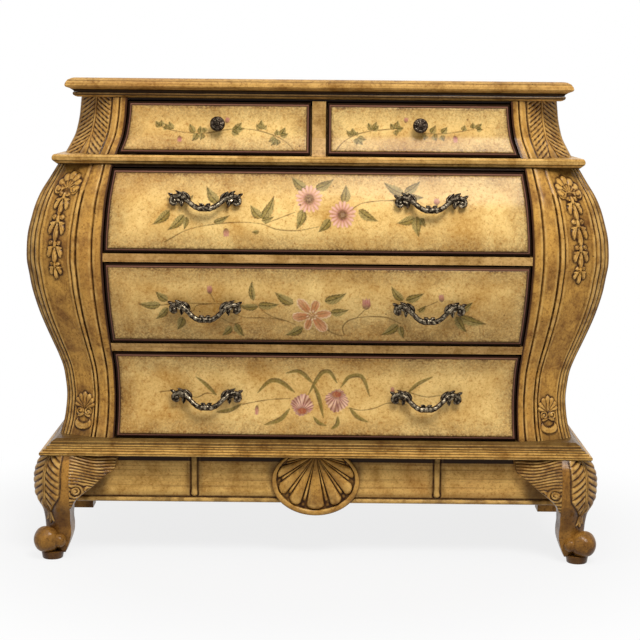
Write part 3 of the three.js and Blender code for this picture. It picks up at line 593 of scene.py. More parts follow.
def dark_line_group():
    """A dark line along a moulding between two heights: glaze in its coves, painted shadow under its
    overhangs.
    """
    tree, given, result = new_group(
        "dark_line",
        [("Color", "Color", white), ("Dark tone", "Color", black_tone), ("Low", "Float", 0.0),
         ("High", "Float", 0.01), ("Depth", "Float", 1.0)],
        [("Color", "Color")],
    )
    where = add(tree, "TexCoord").outputs["Object"]
    waver = calc(tree, "MULTIPLY", noise(tree, where, 30, 3), line_waver)
    height = calc(tree, "ADD", add(tree, "SeparateXYZ", {"Vector": where}).outputs["Z"], waver)
    above = spread(tree, height, calc(tree, "SUBTRACT", given["Low"], line_fade), given["Low"])
    below = spread(tree, height, calc(tree, "ADD", given["High"], line_fade), given["High"])
    inside = calc(tree, "MULTIPLY", calc(tree, "MULTIPLY", above, below), given["Depth"])
    tree.links.new(mix(tree, inside, given["Color"], given["Dark tone"]), result["Color"])
    return tree


def wood_grain_group():
    """Long grain where the stretch is least, with pores."""
    tree, given, result = new_group(
        "wood_grain",
        [("Light", "Color", white), ("Deep", "Color", black_tone), ("Stretch", "Vector", (4, 40, 60))],
        [("Color", "Color"), ("Height", "Float")],
    )
    along = on_surface(tree, given["Stretch"])
    bands = noise(tree, along, 1.0, 5, 0.6, 0.8)
    pores = noise(tree, along, 10.0, 3, 0.6)
    tone = mix(tree, spread(tree, bands, 0.35, 0.65), given["Deep"], given["Light"])
    tone = mix(tree, spread(tree, pores, 0.55, 0.75, 0, 0.35), tone, given["Deep"])
    tree.links.new(tone, result["Color"])
    tree.links.new(pores, result["Height"])
    return tree


mottled_paint = mottled_paint_group()
gathered_glaze = gathered_glaze_group()
fly_specks = fly_specks_group()
fine_crazing = fine_crazing_group()
brushed_streaks = brushed_streaks_group()
dark_line = dark_line_group()
wood_grain = wood_grain_group()

# Materials

# How deep the small unevenness of each finish is
paint_depth, face_depth, glaze_depth, grain_depth, casting_depth = 0.0003, 0.00022, 0.0002, 0.0001, 0.00025


def new_material(name):
    """A material with its node tree and its surface shader."""
    material = bpy.data.materials.new(name)
    material.use_nodes = True
    tree = material.node_tree
    return material, tree, tree.nodes["Principled BSDF"]


def finish_surface(tree, surface, colour, height, bump, rough, gloss=0.0, gloss_rough=0.2):
    """Joins a painted colour, a roughness and a shallow bump to the surface shader."""
    lifted = add(tree, "Bump", {"Strength": 1.0, "Distance": bump, "Height": height})
    sheen, sheen_tint = 0.14, paint_of("C08A55")
    fill_in(tree, surface, {
        "Base Color": colour, "Roughness": rough, "Coat Weight": gloss, "Coat Roughness": gloss_rough,
        "Specular IOR Level": sheen, "Specular Tint": sheen_tint, "Normal": lifted.outputs[0]})


def paint_tones(light, deep, warm, cloud):
    """What the mottled paint is given: three tones and the size of its clouds."""
    return {"Light": paint_of(light), "Deep": paint_of(deep), "Warm": paint_of(warm), "Cloud size": cloud}


def carved_ochre(name, lines, light, deep, warm, stretch=(3, 3, 260), gloss=0.14):
    """Ochre paint under brown glaze and painted shade, with dark lines along a moulding, each a low, high and
    depth.
    """
    material, tree, surface = new_material(name)
    paint = use(tree, mottled_paint, paint_tones(light, deep, warm, 24.0))
    colour = use(tree, brushed_streaks, {
        "Color": paint["Color"], "Dark tone": paint_of("64401C"), "Amount": 0.5, "Stretch": stretch})["Color"]
    # Painted shade where the mesh's shade mark says, broken into clouds
    shade = calc(tree, "MINIMUM", calc(tree, "MULTIPLY", mark(tree, "shade"), cloudy(tree, 26, 0.65)), 1.0)
    colour = mix(tree, shade, colour, paint_of("3A200F"))
    # Dark lines: glaze in the mouldings' coves, and painted shadow under their overhangs
    for low, high, depth in lines:
        colour = use(tree, dark_line, {
            "Color": colour, "Dark tone": paint_of("20120A"), "Low": low, "High": high, "Depth": depth})["Color"]
    colour = use(tree, gathered_glaze, {
        "Color": colour, "Dark tone": paint_of("2C160A"), "Rubbed": paint_of("D8AC62"),
        "Recess": mark(tree, "recess"), "Crest": mark(tree, "crest"), "Strength": 1.0})["Color"]
    colour = use(tree, fly_specks, {
        "Color": colour, "Speck": paint_of("2A1A0E"), "Spacing": 85.0, "Share": 0.2})["Color"]
    crack = use(tree, fine_crazing, {})["Crack"]
    height = calc(tree, "SUBTRACT", paint["Height"], calc(tree, "MULTIPLY", crack, 0.7))
    rough = spread(tree, paint["Height"], 0.3, 0.7, 0.3, 0.48)
    finish_surface(tree, surface, colour, height, paint_depth, rough, gloss, 0.18)
    return material


def cloudy(tree, scale, low):
    """An uneven share between low and one."""
    return spread(tree, noise(tree, on_surface(tree), scale, 4), 0.25, 0.7, low, 1.0)


def painted_front():
    """A drawer's face: pale gold ground, painted sprays, a dark edge with a painted highlight and painted
    shade at its border.
    """
    material, tree, surface = new_material("painted_front")
    paint = use(tree, mottled_paint, paint_tones("F0CC82", "BE8F46", "DBA95E", 9.0))
    stipple = spread(tree, noise(tree, on_surface(tree), 250, 3, 0.7), 0.35, 0.62, 0.5, 1.0)
    # Painted shade where the mesh's shade mark says, broken by clouds and stipple
    uneven = calc(tree, "MULTIPLY", mark(tree, "shade"), cloudy(tree, 24, 0.6))
    shade = calc(tree, "MULTIPLY", uneven, stipple)
    shaded = mix(tree, shade, paint["Color"], paint_of("4A2A14"))
    spray = add(tree, "Attribute", attribute_name="spray")
    thin = spread(tree, noise(tree, on_surface(tree), 240, 3), 0.3, 0.65, 0.75, 1.0)
    cover = calc(tree, "MULTIPLY", spray.outputs["Alpha"], thin)
    painted = mix(tree, cover, shaded, spray.outputs["Color"])
    specked = use(tree, fly_specks, {
        "Color": painted, "Speck": paint_of("5A3A1E"), "Spacing": 60.0, "Share": 0.2})["Color"]
    crack = use(tree, fine_crazing, {"Cell size": 80.0})["Crack"]
    aged = mix(tree, calc(tree, "MULTIPLY", crack, 0.22), specked, paint_of("6A4A28"))
    # The moulded edge near black: its own dark paint, with painted shadow of the gap round the drawer on its
    # outer part
    edge = mark(tree, "edge")
    edged = mix(tree, edge, aged, paint_of("140A06"))
    # A paler line along the moulded edge: a painted highlight
    edge_highlighted = mix(tree, mark(tree, "line"), edged, paint_of("805848"))
    swell = calc(tree, "MULTIPLY", paint["Height"], 0.7)
    height = calc(tree, "SUBTRACT", swell, calc(tree, "MULTIPLY", crack, 0.6))
    rough = spread(tree, paint["Height"], 0.3, 0.7, 0.36, 0.5)
    gloss = spread(tree, edge, 0, 1, 0.2, 0.0)
    finish_surface(tree, surface, edge_highlighted, height, face_depth, rough, gloss, 0.2)
    return material


def black_glaze():
    """The near black glaze of the rail under the waist."""
    material, tree, surface = new_material("black_glaze")
    paint = use(tree, mottled_paint, paint_tones("1C100A", "0B0503", "26160D", 20.0))
    finish_surface(tree, surface, paint["Color"], paint["Height"], glaze_depth, 0.4, 0.05, 0.25)
    return material


def bare_wood(name, stretch, light="C6A273", deep="A47B4C", rough=0.62):
    """Unpainted wood with its grain along the axis that is stretched least."""
    material, tree, surface = new_material(name)
    tones = {"Light": paint_of(light), "Deep": paint_of(deep)}
    wood = use(tree, wood_grain, {**tones, "Stretch": stretch})
    finish_surface(tree, surface, wood["Color"], wood["Height"], grain_depth, rough)
    return material


def aged_bronze():
    """Dark cast bronze, rubbed pale on its high places."""
    material, tree, surface = new_material("aged_bronze")
    where = on_surface(tree)
    worn = spread(tree, noise(tree, where, 180, 4, 0.65), 0.4, 0.7)
    high = spread(tree, add(tree, "NewGeometry").outputs["Pointiness"], 0.5, 0.58)
    rubbed = calc(tree, "MULTIPLY", high, worn)
    patchy = spread(tree, noise(tree, where, 90, 3), 0.4, 0.65)
    tarnish = mix(tree, patchy, paint_of("17110D"), paint_of("352B24"))
    colour = mix(tree, rubbed, tarnish, paint_of("CDBC9C"))
    tree.links.new(spread(tree, rubbed, 0, 1, 0.85, 1.0), surface.inputs["Metallic"])
    finish_surface(tree, surface, colour, worn, casting_depth, spread(tree, worn, 0, 1, 0.42, 0.26))
    return material


def lines_above(node, *lines):
    """Dark lines of a moulding: low, high and depth, with the heights measured from a solid's foot."""
    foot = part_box(node)[0].z
    return [(foot + low, foot + high, depth) for low, high, depth in lines]


upright = (170, 170, 3)
ochre = carved_ochre("carved_ochre", [], "CBA365", "906A33", "AF7F47")
post_ochre = carved_ochre("post_ochre", [], "C99748", "7E5324", "9E6831", upright, 0.16)
leg_ochre = carved_ochre("leg_ochre", [], "AC7B36", "5F3B16", "825222", upright, 0.24)
# Dark lines above each solid's foot: glaze in the coves and steps, and painted shadow at and under the
# mouldings' feet and at the apron's top
cornice_lines = lines_above(
    "cornice_moulding", (-0.0057, 0.004, 1.0), (0.0085, 0.0101, 0.9), (0.0101, 0.0131, 0.5),
    (0.0131, 0.0193, 0.95), (0.0348, 0.0358, 0.5))
slab_ochre = carved_ochre("slab_ochre", cornice_lines, "C99D57", "8C632A", "A97439")
waist_lines = lines_above(
    "waist_moulding", (-0.0033, 0.0022, 0.9), (0.0065, 0.0073, 0.7), (0.0132, 0.0139, 0.5))
waist_ochre = carved_ochre("waist_ochre", waist_lines, "DBB067", "9C7233", "BE884A")
base_lines = lines_above(
    "base_moulding", (-0.0028, 0.0017, 0.9), (0.0047, 0.0055, 0.8), (0.009, 0.0098, 0.75),
    (0.013, 0.0138, 0.75), (0.0167, 0.0177, 0.8), (0.0197, 0.0234, 0.8), (0.025, 0.0312, 0.75))
base_ochre = carved_ochre("base_ochre", base_lines, "D4A85C", "92682C", "B07C40")
apron_lines = lines_above("front_apron", (0.081, 0.0955, 0.98), (-0.0015, 0.001, 0.6))
apron_ochre = carved_ochre("apron_ochre", apron_lines, "E0B467", "A67A38", "C28A4A")
face_paint = painted_front()
black = black_glaze()
drawer_wood = bare_wood("box_wood", (4, 40, 60))
side_wood = bare_wood("box_side_wood", (40, 4, 60))
rear_wood = bare_wood("back_wood", (4, 40, 60), "9C7B52", "74552F", 0.75)
bronze = aged_bronze()

# Posts

lower_plan = [(1, 0), (0.586, 0.087), (0.193, 0.264), (0, 0.45)]
upper_plan = [(1, 0), (0.85, 0), (0.7, 0.05), (0.05, 0.7), (0, 0.85), (0, 1)]
hands = ("right", "left")


def pair_of(name, right_bodies, marks, material, solid):
    """A right-hand piece of the case and its mirror image."""
    for hand in hands:
        bodies = right_bodies if hand == "right" else [mirrored(b) for b in right_bodies]
        make_piece(f"{name}_{hand}", bodies, material, "case", [f"{solid}_{hand}"], marks)


post_body, post_marks = carved_post(lower_stage, lower_plan, lower_face_middle, lower_post_carving)
pair_of("carved_corner_post", [post_body], post_marks, post_ochre, "corner_post")
post_body, post_marks = carved_post(upper_stage, upper_plan, upper_face_middle, upper_post_carving)
pair_of("carved_upper_post", [post_body], post_marks, post_ochre, "upper_post")

# Legs, wings and the apron's shell

knee_proud, knee_cant, leg_reach = 0.0582, 0.06, 0.016
leg_shares = [
    (0.06, 0.5, 0.3, 0.45), (0.14, 0.55, 0.7, 0.48), (0.22, 0.6, 1, 0.5), (0.3, 0.62, 1.05, 0.52),
    (0.375, 0.65, 0.97, 0.56), (0.454, 0.72, 1, 0.66), (0.531, 0.87, 1, 0.8), (0.607, 0.96, 1, 0.92),
    (0.686, 0.99, 1, 0.98), (0.763, 1, 1, 1), (0.84, 0.96, 1, 0.96), (0.92, 0.86, 1, 0.88), (1, 0.7, 1, 0.77),
]
knee_line, reach_line, cant_line = (
    smooth_through([leg_top * row[0] for row in leg_shares], [size * row[k] for row in leg_shares])
    for k, size in ((1, knee_proud), (2, leg_reach), (3, knee_cant))
)
panel_foot = 0.455 * leg_top
leaflet_pitch, leaflet_sweep, leaflet_height = 0.0125, 0.021, 0.0042
knee_vein_apart, knee_vein_half, knee_vein_height = 0.0021, 0.0019, 0.0046
vein_foot, vein_edge = 0.002, 0.006
foot_leaf_rise, foot_leaf_long, foot_leaf_half, foot_leaf_height = 0.004, 0.028, 0.007, 0.0035
side_leaf_start, side_leaf_tip, side_leaf_long, side_leaf_half = 0.004, 0.012, 0.02, 0.004
side_leaf_height = 0.003


def leg_carving(u, z, half):
    """A feathered leaf over the knee and its cant, then a small leaf above the foot."""
    panel = 0.93 * half * np.clip((z - panel_foot) / (0.16 * leg_top), 0, 1) ** 0.5
    side = np.abs(u)
    across = np.clip(side / np.maximum(panel, 1e-4), 0, 1.001)
    leaflet = (z + leaflet_sweep * across**0.8) / leaflet_pitch
    blade = (0.2 + 0.8 * np.abs(np.sin(np.pi * leaflet)) ** 0.6) * (1 - 0.35 * across**6)
    vein = np.clip(1 - ((side - knee_vein_apart) / knee_vein_half) ** 2, 0, 1) ** 0.5
    blade_lift = leaflet_height * blade * step_up(side, vein_foot, vein_edge)
    leaf = np.where(across < 1, over(blade_lift, knee_vein_height * vein), 0)
    top = panel_foot + foot_leaf_rise
    foot = petal(u, z, (0, top), (0, top - foot_leaf_long), foot_leaf_half, foot_leaf_height, vein=0.3)
    tip = panel_foot - side_leaf_long
    sides = [
        petal(u, z, (hand * side_leaf_start, panel_foot), (hand * side_leaf_tip, tip), side_leaf_half,
              side_leaf_height, bend=0.15 * hand)
        for hand in (-1, 1)
    ]
    return over(leaf, foot, *sides)


def leg_body():
    """The leg from its foot to the case, with the carved cant between its two outer faces."""
    z = np.linspace(leg_shares[0][0] * leg_top, leg_top, 150)[:, None]
    knee, reach, cant = knee_line(z), reach_line(z), cant_line(z)
    side = np.linspace(0, 1, 26)[None, :-1]
    turn = np.linspace(0, 1, 72)[None, :]
    bulge = 0.07 * cant * (1 - (2 * turn - 1) ** 4)
    one = [knee + 0 * side, -reach + side * (knee - cant + reach)]
    middle = [knee - cant * turn + bulge, knee - cant * (1 - turn) + bulge]
    u = (turn - 0.5) * cant * math.sqrt(2)
    lift = leg_carving(u, z + 0 * u, cant / math.sqrt(2) + 0 * u)
    across = np.concatenate([one[0], middle[0] + lift * math.sqrt(0.5), one[1][:, ::-1], -reach], axis=1)
    deep = np.concatenate([one[1], middle[1] + lift * math.sqrt(0.5), one[0], -reach], axis=1)
    rings = np.stack([narrow_half + across, case_front - deep, np.broadcast_to(z, across.shape)], axis=-1)
    full_lift = np.concatenate([0 * one[0], lift, 0 * one[0], 0 * reach], axis=1)
    return loft(rings), full_lift


wing_long, wing_high, wing_tip, apron_proud = 0.088, 0.104, 0.022, 0.005
wing_shares = [
    (0, 1), (0.045, 0.955), (0.092, 0.86), (0.22, 0.745), (0.474, 0.585), (0.633, 0.472), (0.807, 0.355),
    (0.95, 0.26), (1, 0.09),
]
wing_drop = smooth_through([a for a, _ in wing_shares], [d for _, d in wing_shares])
strand_pitch, strand_height, strand_wave = 0.0058, 0.0026, 0.0026
curl_along, curl_drop, curl_radius, curl_height, curl_sink = 0.012, 0.066, 0.0075, 0.0035, 0.0005
curl_reach = (0.011, 0.024)  # where the strands stop turning round the curl
curl_side = (-0.012, 0.006)
rounded_edge, edge_fall, least_wing = 0.003, 0.006, 0.001


def wing_body(place):
    """Wavy strands that flow out from the knee, over a curl in its lower corner."""
    along = np.linspace(0, 1, 80)[:, None]
    low = leg_top - wing_high * wing_drop(along)
    z = low + (leg_top - low) * np.linspace(0, 1, 74)[None, :]
    far = along * wing_long
    curl = (curl_along, leg_top - curl_drop)
    r = np.hypot(far - curl[0], z - curl[1])
    flow = z + 0.16 * far + strand_wave * np.sin(far * 70 + z * 25)
    near = (1 - step_up(r, *curl_reach)) * step_up(far - z + curl[1], *curl_side)
    phase = flow * (1 - near) + (curl[1] + r * np.sign(z - curl[1] + 1e-9)) * near
    strand = np.abs(np.sin(np.pi * phase / strand_pitch)) ** 0.6
    wound = curl_sink + 0.8 * scroll(far + 0 * z, z + 0 * far, curl, curl_radius, curl_height, -1, 1.2)
    lift = np.where(r < curl_radius, wound, strand_height * (strand - 0.5))
    edge = np.clip(np.minimum(z - low, rounded_edge) / rounded_edge, 0, 1)
    out = knee_line(z) + (wing_tip - knee_line(z)) * along + lift - edge_fall * (1 - np.sqrt(edge))
    floor = apron_proud + glue_gap
    out = np.maximum(out, floor + least_wing)
    front = np.stack(place(far + 0 * z, out, z), axis=-1)
    behind = np.stack(place(edge_of(far + 0 * z), edge_of(0 * z) + floor, edge_of(z)), axis=-1)
    return slab_of(front, lambda _: behind), lift


def ball_body(centre, radius, around=44, rings=30, wound=0.0):
    """A carved ball of a foot, its outer face wound into a scroll."""
    fall = np.linspace(0.02, np.pi - 0.02, rings)[:, None]
    turn = np.linspace(0, 2 * np.pi, around, endpoint=False)[None, :]
    spiral = np.cos(turn - 5.5 * fall) * np.clip(np.sin(fall), 0, 1)
    size = radius * (1 + wound * spiral * step_up(np.pi - fall, 0.8, 1.4))
    x = size * np.cos(fall) + 0 * turn
    y, z = size * np.sin(fall) * np.cos(turn), size * np.sin(fall) * np.sin(turn)
    away = math.radians(-45) if centre[0] * centre[1] < 0 and wound else 0.0
    turned_x = x * math.cos(away) - y * math.sin(away)
    turned_y = x * math.sin(away) + y * math.cos(away)
    return loft(np.stack([centre[0] + turned_x, centre[1] + turned_y, centre[2] + z], axis=-1))


def turned_body(centre, profile):
    """A body turned on an upright axis, from rings of radius and height."""
    turn = np.linspace(0, 2 * np.pi, 48, endpoint=False)
    x, y = centre[:2]
    return loft([[(x + r * math.cos(t), y + r * math.sin(t), z) for t in turn] for r, z in profile])


def marked(*pieces, darker=None):
    """Bodies with their carved fields, and the glaze, wear and shading of them all."""
    recess, crest = [], []
    heights = np.concatenate([np.asarray(points)[:, 2] for (points, _), _ in pieces])
    for (points, _), field in pieces:
        if field is None:
            hollow, high = np.zeros(len(points)), np.zeros(len(points))
        else:
            hollow, high = (np.pad(f.ravel(), (0, len(points) - field.size)) for f in glaze_and_wear(field))
        recess.append(hollow)
        crest.append(high)
    shade = darker(heights) if darker else 0 * heights
    return [body for body, _ in pieces], {
        "recess": np.concatenate(recess), "crest": np.concatenate(crest), "shade": shade}


wing_start = leg_reach + glue_gap
side_wing = wing_body(lambda far, out, z: (narrow_half + out, case_front + leg_reach + far + 0 * z, z))
front_wing = wing_body(lambda far, out, z: (narrow_half - wing_start - far, case_front - out, z))

ball_radius, ball_at, ball_high = 0.025, 0.031, 0.038
toe_radius, toe_far, toe_near, toe_high = 0.0135, 0.036, 0.0064, 0.037
pad_at, pad_rings = 0.021, [(0.0185, 0), (0.0195, 0.001), (0.0215, 0.0125), (0.022, 0.014), (0.021, 0.015)]
pad_top, ball_top = 0.02, 0.042


def on_foot(across, deep, high):
    """A place out from the case's front corner, over the floor."""
    return narrow_half + across, case_front - deep, high


def leg_painted_shade(z):
    """Painted shade on the pad, under the balls, above the ankle and under the case."""
    share = z / leg_top
    ankle = step_up(share, 0.26, 0.34) * (1 - step_up(share, 0.4, 0.62))
    return over(
        0.62 * ankle, 0.3 * (1 - step_up(share, 0.3, 0.5)), 0.6 * step_up(share, 0.95, 1),
        0.95 * (1 - step_up(z, 0.65 * pad_top, pad_top)), 0.5 * (1 - step_up(z, pad_top, ball_top)))


feet = [(ball_body(on_foot(ball_at, ball_at, ball_high), ball_radius, wound=0.035), None)]
for across, deep in ((toe_far, toe_near), (toe_near, toe_far)):
    feet.append((ball_body(on_foot(across, deep, toe_high), toe_radius, 28, 20), None))
feet.append((turned_body(on_foot(pad_at, pad_at, 0), pad_rings), None))
bodies, leg_marks = marked(leg_body(), side_wing, *feet, darker=leg_painted_shade)
pair_of("carved_front_leg", bodies, leg_marks, leg_ochre, "front_leg")
# Painted shade: a little over the whole wing, more under the base moulding
bodies, wing_marks = marked(front_wing, darker=lambda z: 0.2 + 0.6 * step_up(z, 0.95 * leg_top, leg_top))
pair_of("carved_wing", bodies, wing_marks, leg_ochre, "knee_block")

shell_half, shell_tall, shell_drop = 0.0845, 0.066, 0.0525
hinge_radius, rim_width, rib_count = 0.006, 0.011, 9
shell_base, rib_height, rim_base, rim_height = 0.0035, 0.0095, 0.004, 0.0055
dome_shares, dome_height_shares = (0, 0.35, 0.75, 0.93, 0.97, 1), (0.3, 0.7, 1, 0.9, 0.6, 0.1)


def shell_body():
    """The apron's shell: wide ribs with thin ones between, from a hinge to a plain rim."""
    drop = shell_drop / shell_tall
    turn = np.linspace(-np.pi / 2, np.pi / 2, 300)[None, :]
    down = np.cos(turn) / shell_tall
    size = (np.sin(turn) / shell_half) ** 2 + down**2
    reach = (down * drop + np.sqrt((down * drop) ** 2 + size * (1 - drop**2))) / size
    share = np.linspace(0, 1, 60)[:, None]
    rim_share = np.linspace(0, 1, 16)[1:, None]
    q = (turn / np.pi * rib_count - 0.2 * np.tanh(turn / 0.16) + 0.5) % 1 - 0.5
    wide = np.clip(1 - (q / 0.34) ** 2, 0, 1) ** 0.5
    thin = 0.55 * np.clip(1 - ((np.abs(q) - 0.5) / 0.085) ** 2, 0, 1) ** 0.5
    rib = over(wide, thin)
    ended = share / (0.86 + 0.14 * np.clip(1 - (q / 0.4) ** 2, 0, 1) ** 0.5)
    along = smooth_through(dome_shares, dome_height_shares)(np.minimum(ended, 1))
    lift = shell_base + rib_height * along * (0.2 + 0.8 * rib)
    r = hinge_radius + (reach - rim_width - hinge_radius) * share
    rim_lift = rim_base + rim_height * np.sin(np.pi * rim_share * 0.85 + 0.25) ** 0.5 + 0 * turn
    r = np.concatenate([r, reach - rim_width * (1 - rim_share)])
    lift = np.concatenate([lift, rim_lift])
    face = case_front - apron_proud
    front = np.stack([r * np.sin(turn), face - lift, leg_top - r * np.cos(turn)], axis=-1)
    return slab_of(front, lambda edge: edge * [1, 0, 1] + [0, face - glue_gap, 0]), lift


# Painted shade: a little over the whole shell, more under the base moulding
bodies, shell_marks = marked(shell_body(), darker=lambda z: 0.12 + 0.7 * step_up(z, 0.94 * leg_top, leg_top))
make_piece("carved_apron_shell", bodies, post_ochre, "case", ["apron_shell"], shell_marks)

bead_high, bead_lift, bar_lift, outline = 0.009, 0.0038, 0.004, 0.0013
foot_flare, board_top, wing_shadow = 0.008, 0.01, 0.03
apron_shade_reach = (-0.002, 0.016)  # how far painted shade runs in from the edges of the apron's fields


def apron_body():
    """The front apron: a board with a bead along its foot, two upright bars each with a round foot, and
    painted shade.
    """
    low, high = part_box("front_apron")
    face = case_front - apron_proud
    solid = points_of("front_apron")
    on_bar = (solid[:, 1] < face - glue_gap) & (solid[:, 2] > high.z - 0.1 * board_top) & (solid[:, 0] > 0)
    bar_at, bar_half = solid[on_bar, 0].mean(), np.ptp(solid[on_bar, 0]) / 2
    x = np.linspace(low.x, high.x, int((high.x - low.x) / fine_step))[None, :]
    z = np.linspace(low.z, high.z, int((high.z - low.z) / fine_step))[:, None]
    aside = np.abs(np.abs(x) - bar_at)
    foot = low.z + bead_high + 2 * outline
    wide = bar_half * (1 + 0.3 * np.exp(-(((z - foot) / foot_flare) ** 2)))
    r = np.hypot(aside, np.minimum(z - foot - wide, 0)) / wide
    bar = bar_lift * np.clip(1 - r**2, 0, 1) ** 0.5 - outline * np.exp(-(((r - 1.25) / 0.18) ** 2))
    up = (z - low.z) / bead_high
    bead = bead_lift * np.clip(1 - (2 * up - 1) ** 2, 0, 1) ** 0.5
    bead = bead - outline * np.exp(-(((up - 1.12) / 0.1) ** 2))
    off_shell = np.hypot(x / shell_half, (z - leg_top) / (shell_drop + shell_tall)) - 1
    lift = np.where(np.abs(bar) > np.abs(bead), bar, bead) * step_up(off_shell, -0.05, 0.0)
    front = np.stack([x + 0 * z, face - lift, z + 0 * x], axis=-1)
    # Painted shade towards the edges of the fields, and painted shadow out from the wings
    d = np.minimum(z - low.z - bead_high, high.z - board_top - z)
    d = np.minimum(d, np.minimum(aside - bar_half, 0.07 * off_shell))
    d = np.minimum(d, narrow_half - wing_long - leg_reach - np.abs(x) + wing_shadow)
    shade = 0.75 * (1 - step_up(d, *apron_shade_reach))
    body = slab_of(front, lambda edge: edge * [1, 0, 1] + [0, high.y, 0])
    recess, crest, shade = (
        np.pad(field.ravel(), (0, len(body[0]) - field.size)) for field in (*glaze_and_wear(lift), shade))
    return body, {"recess": recess, "crest": crest, "shade": shade}


body, apron_marks = apron_body()
make_piece("barred_front_apron", [body], apron_ochre, "case", ["front_apron"], apron_marks)

# Drawer fronts

front_thick, front_proud, front_lip, front_border = 0.02, 0.006, 0.0006, 0.0095
border_step_shares = np.array(
    [0, 0.06, 0.14, 0.22, 0.3, 0.38, 0.45, 0.5, 0.55, 0.62, 0.7, 0.78, 0.86, 0.94, 1.0])
border_profile = smooth_through(
    [0, 0.12, 0.3, 0.44, 0.5, 0.58, 0.72, 0.88, 1], [0, 0.1, 0.3, 0.46, 0.56, 0.57, 0.74, 0.95, 1])


def face_grid(name, stage):
    """Points of a drawer's face, how far each is from the nearest edge, and its place across and up."""
    rows = rows_of(f"{name}_front")
    heights = [z for z, _ in rows]
    left = smooth_through(heights, [p[:, 0].min() for _, p in rows])
    right = smooth_through(heights, [p[:, 0].max() for _, p in rows])
    bottom, top = heights[0], heights[-1]

    def stations(low, high):
        inset = border_step_shares * front_border
        field = np.linspace(low + front_border, high - front_border, int((high - low) / fine_step))
        return np.concatenate([low + inset[:-1], field, (high - inset[:-1])[::-1]])

    z = stations(bottom, top)[:, None]
    wide = right(z) - left(z)
    middle_wide = float(wide[len(z) // 2, 0])
    share = (stations(0, middle_wide) / middle_wide)[None, :]
    x = left(z) + share * wide
    d = np.minimum(np.minimum(z - bottom, top - z), np.minimum(x - left(z), right(z) - x))
    raised = front_lip + (front_proud - front_lip) * border_profile(np.clip(d / front_border, 0, 1))
    y = stage["front"](z) - raised
    return x, y, z + 0 * x, d


def brush(code):
    """A colour for the sprays."""
    return paint_of(code)[:3]


olive, dark_olive, grey_olive, stem_brown = brush("6F6426"), brush("2C2210"), brush("857A45"), brush("553E18")
rose, pale_rose, plum, mouth_red = brush("A0525A"), brush("E0AC9C"), brush("4A2224"), brush("93382C")
salmon, cream = brush("BC7449"), brush("EFD3AE")
vine_edge, blade_edge, leaf_vein = 0.0008, 0.0004, 0.0009
leaf_edge, bud_edge = (-0.0009, 0.0005), (-0.0008, 0.0006)


def blended(one, two, share):
    """Two colours mixed by a share at each place."""
    share = np.asarray(share)[:, None]
    return np.asarray(one) * (1 - share) + np.asarray(two) * share


def along_stroke(x, z, points):
    """Each place's share along a stroke of the brush and its distance to the side."""
    points = np.array(points, float)
    runs = np.concatenate([[0], np.cumsum(np.hypot(*np.diff(points, axis=0).T))])
    fine = np.linspace(0, runs[-1], 24 * len(points))
    px, pz = smooth_through(runs, points[:, 0])(fine), smooth_through(runs, points[:, 1])(fine)
    gap = np.hypot(x[:, None] - px, z[:, None] - pz)
    k = gap.argmin(axis=1)
    tx, tz = np.gradient(px), np.gradient(pz)
    side = np.sign((x - px[k]) * tz[k] - (z - pz[k]) * tx[k])
    return fine[k] / runs[-1], side * gap[np.arange(len(x)), k]


def from_base(x, z, points):
    """Each place's share of the way from base to tip, its distance to the side, and the way's length."""
    (bx, bz), (tx, tz) = points
    long = math.hypot(tx - bx, tz - bz)
    t = ((x - bx) * (tx - bx) + (z - bz) * (tz - bz)) / long**2
    return t, ((x - bx) * (tz - bz) - (z - bz) * (tx - bx)) / long, long


def vine(x, z, points, half):
    """A thin wavering stem."""
    t, s = along_stroke(x, z, points)
    wide = half * (0.7 + 0.3 * np.sin(t * 17 + 1))
    inside = 1 - step_up(np.abs(s), 0.5 * wide, wide + vine_edge)
    return np.broadcast_to(stem_brown, (len(x), 3)), 0.85 * inside


def leaf(x, z, points, half):
    """A toothed leaf, pale on one side of its dark vein."""
    t, s, long = from_base(x, z, points)
    s = s - 0.06 * long * np.sin(np.pi * np.clip(t, 0, 1)) * np.sign(points[1][0] - points[0][0] + 1e-9)
    teeth = 1 + 0.22 * np.abs((t * 7) % 1 - 0.2)
    wide = 1.3 * half * np.sin(np.pi * np.clip(t, 0.001, 0.999) ** 0.62) ** 1.05 * teeth
    inside = (1 - step_up(np.abs(s), wide + leaf_edge[0], wide + leaf_edge[1])) * (t > 0) * (t < 1)
    colour = blended(olive, grey_olive, step_up(s, -0.3 * half, 0.5 * half))
    ribs = np.abs(((t + 0.25 * np.abs(s) / half) * 6) % 1 - 0.5) < 0.09
    strokes = over(np.exp(-((s / leaf_vein) ** 2)), 0.65 * ribs, 0.9 * step_up(-s, 0.35 * wide, wide))
    return blended(colour, dark_olive, strokes), inside * (0.8 + 0.2 * strokes)


def blade(x, z, points, half):
    """A long grassy leaf, dark on one side."""
    t, s = along_stroke(x, z, points)
    wide = half * np.sin(np.pi * np.clip(t, 0.02, 0.98) ** 0.8) ** 0.7
    inside = 1 - step_up(np.abs(s), 0.7 * wide, wide + blade_edge)
    dark = step_up(s, -0.1 * half, 0.8 * half)
    return blended(olive, dark_olive, 0.25 + 0.7 * dark), inside * 0.85 * (t < 0.995)


def bud(x, z, points, half):
    """A small faded bloom, three petals out of a dark cup."""
    t, s, long = from_base(x, z, points)
    wide = half * np.clip(t * 3, 0, 1) ** 0.5 * (1 - 0.35 * t)
    tip = 1 - 0.16 * np.abs(np.sin(s / half * 5))
    inside = (1 - step_up(np.abs(s), wide + bud_edge[0], wide + bud_edge[1])) * (t > 0)
    inside = inside * (1 - step_up(t, tip - 0.1, tip))
    streak = 0.5 + 0.5 * np.cos(s / half * 14)
    colour = blended(plum, rose, step_up(t, 0.05, 0.55))
    return blended(colour, pale_rose, 0.45 * streak * step_up(t, 0.3, 0.8)), 0.8 * inside


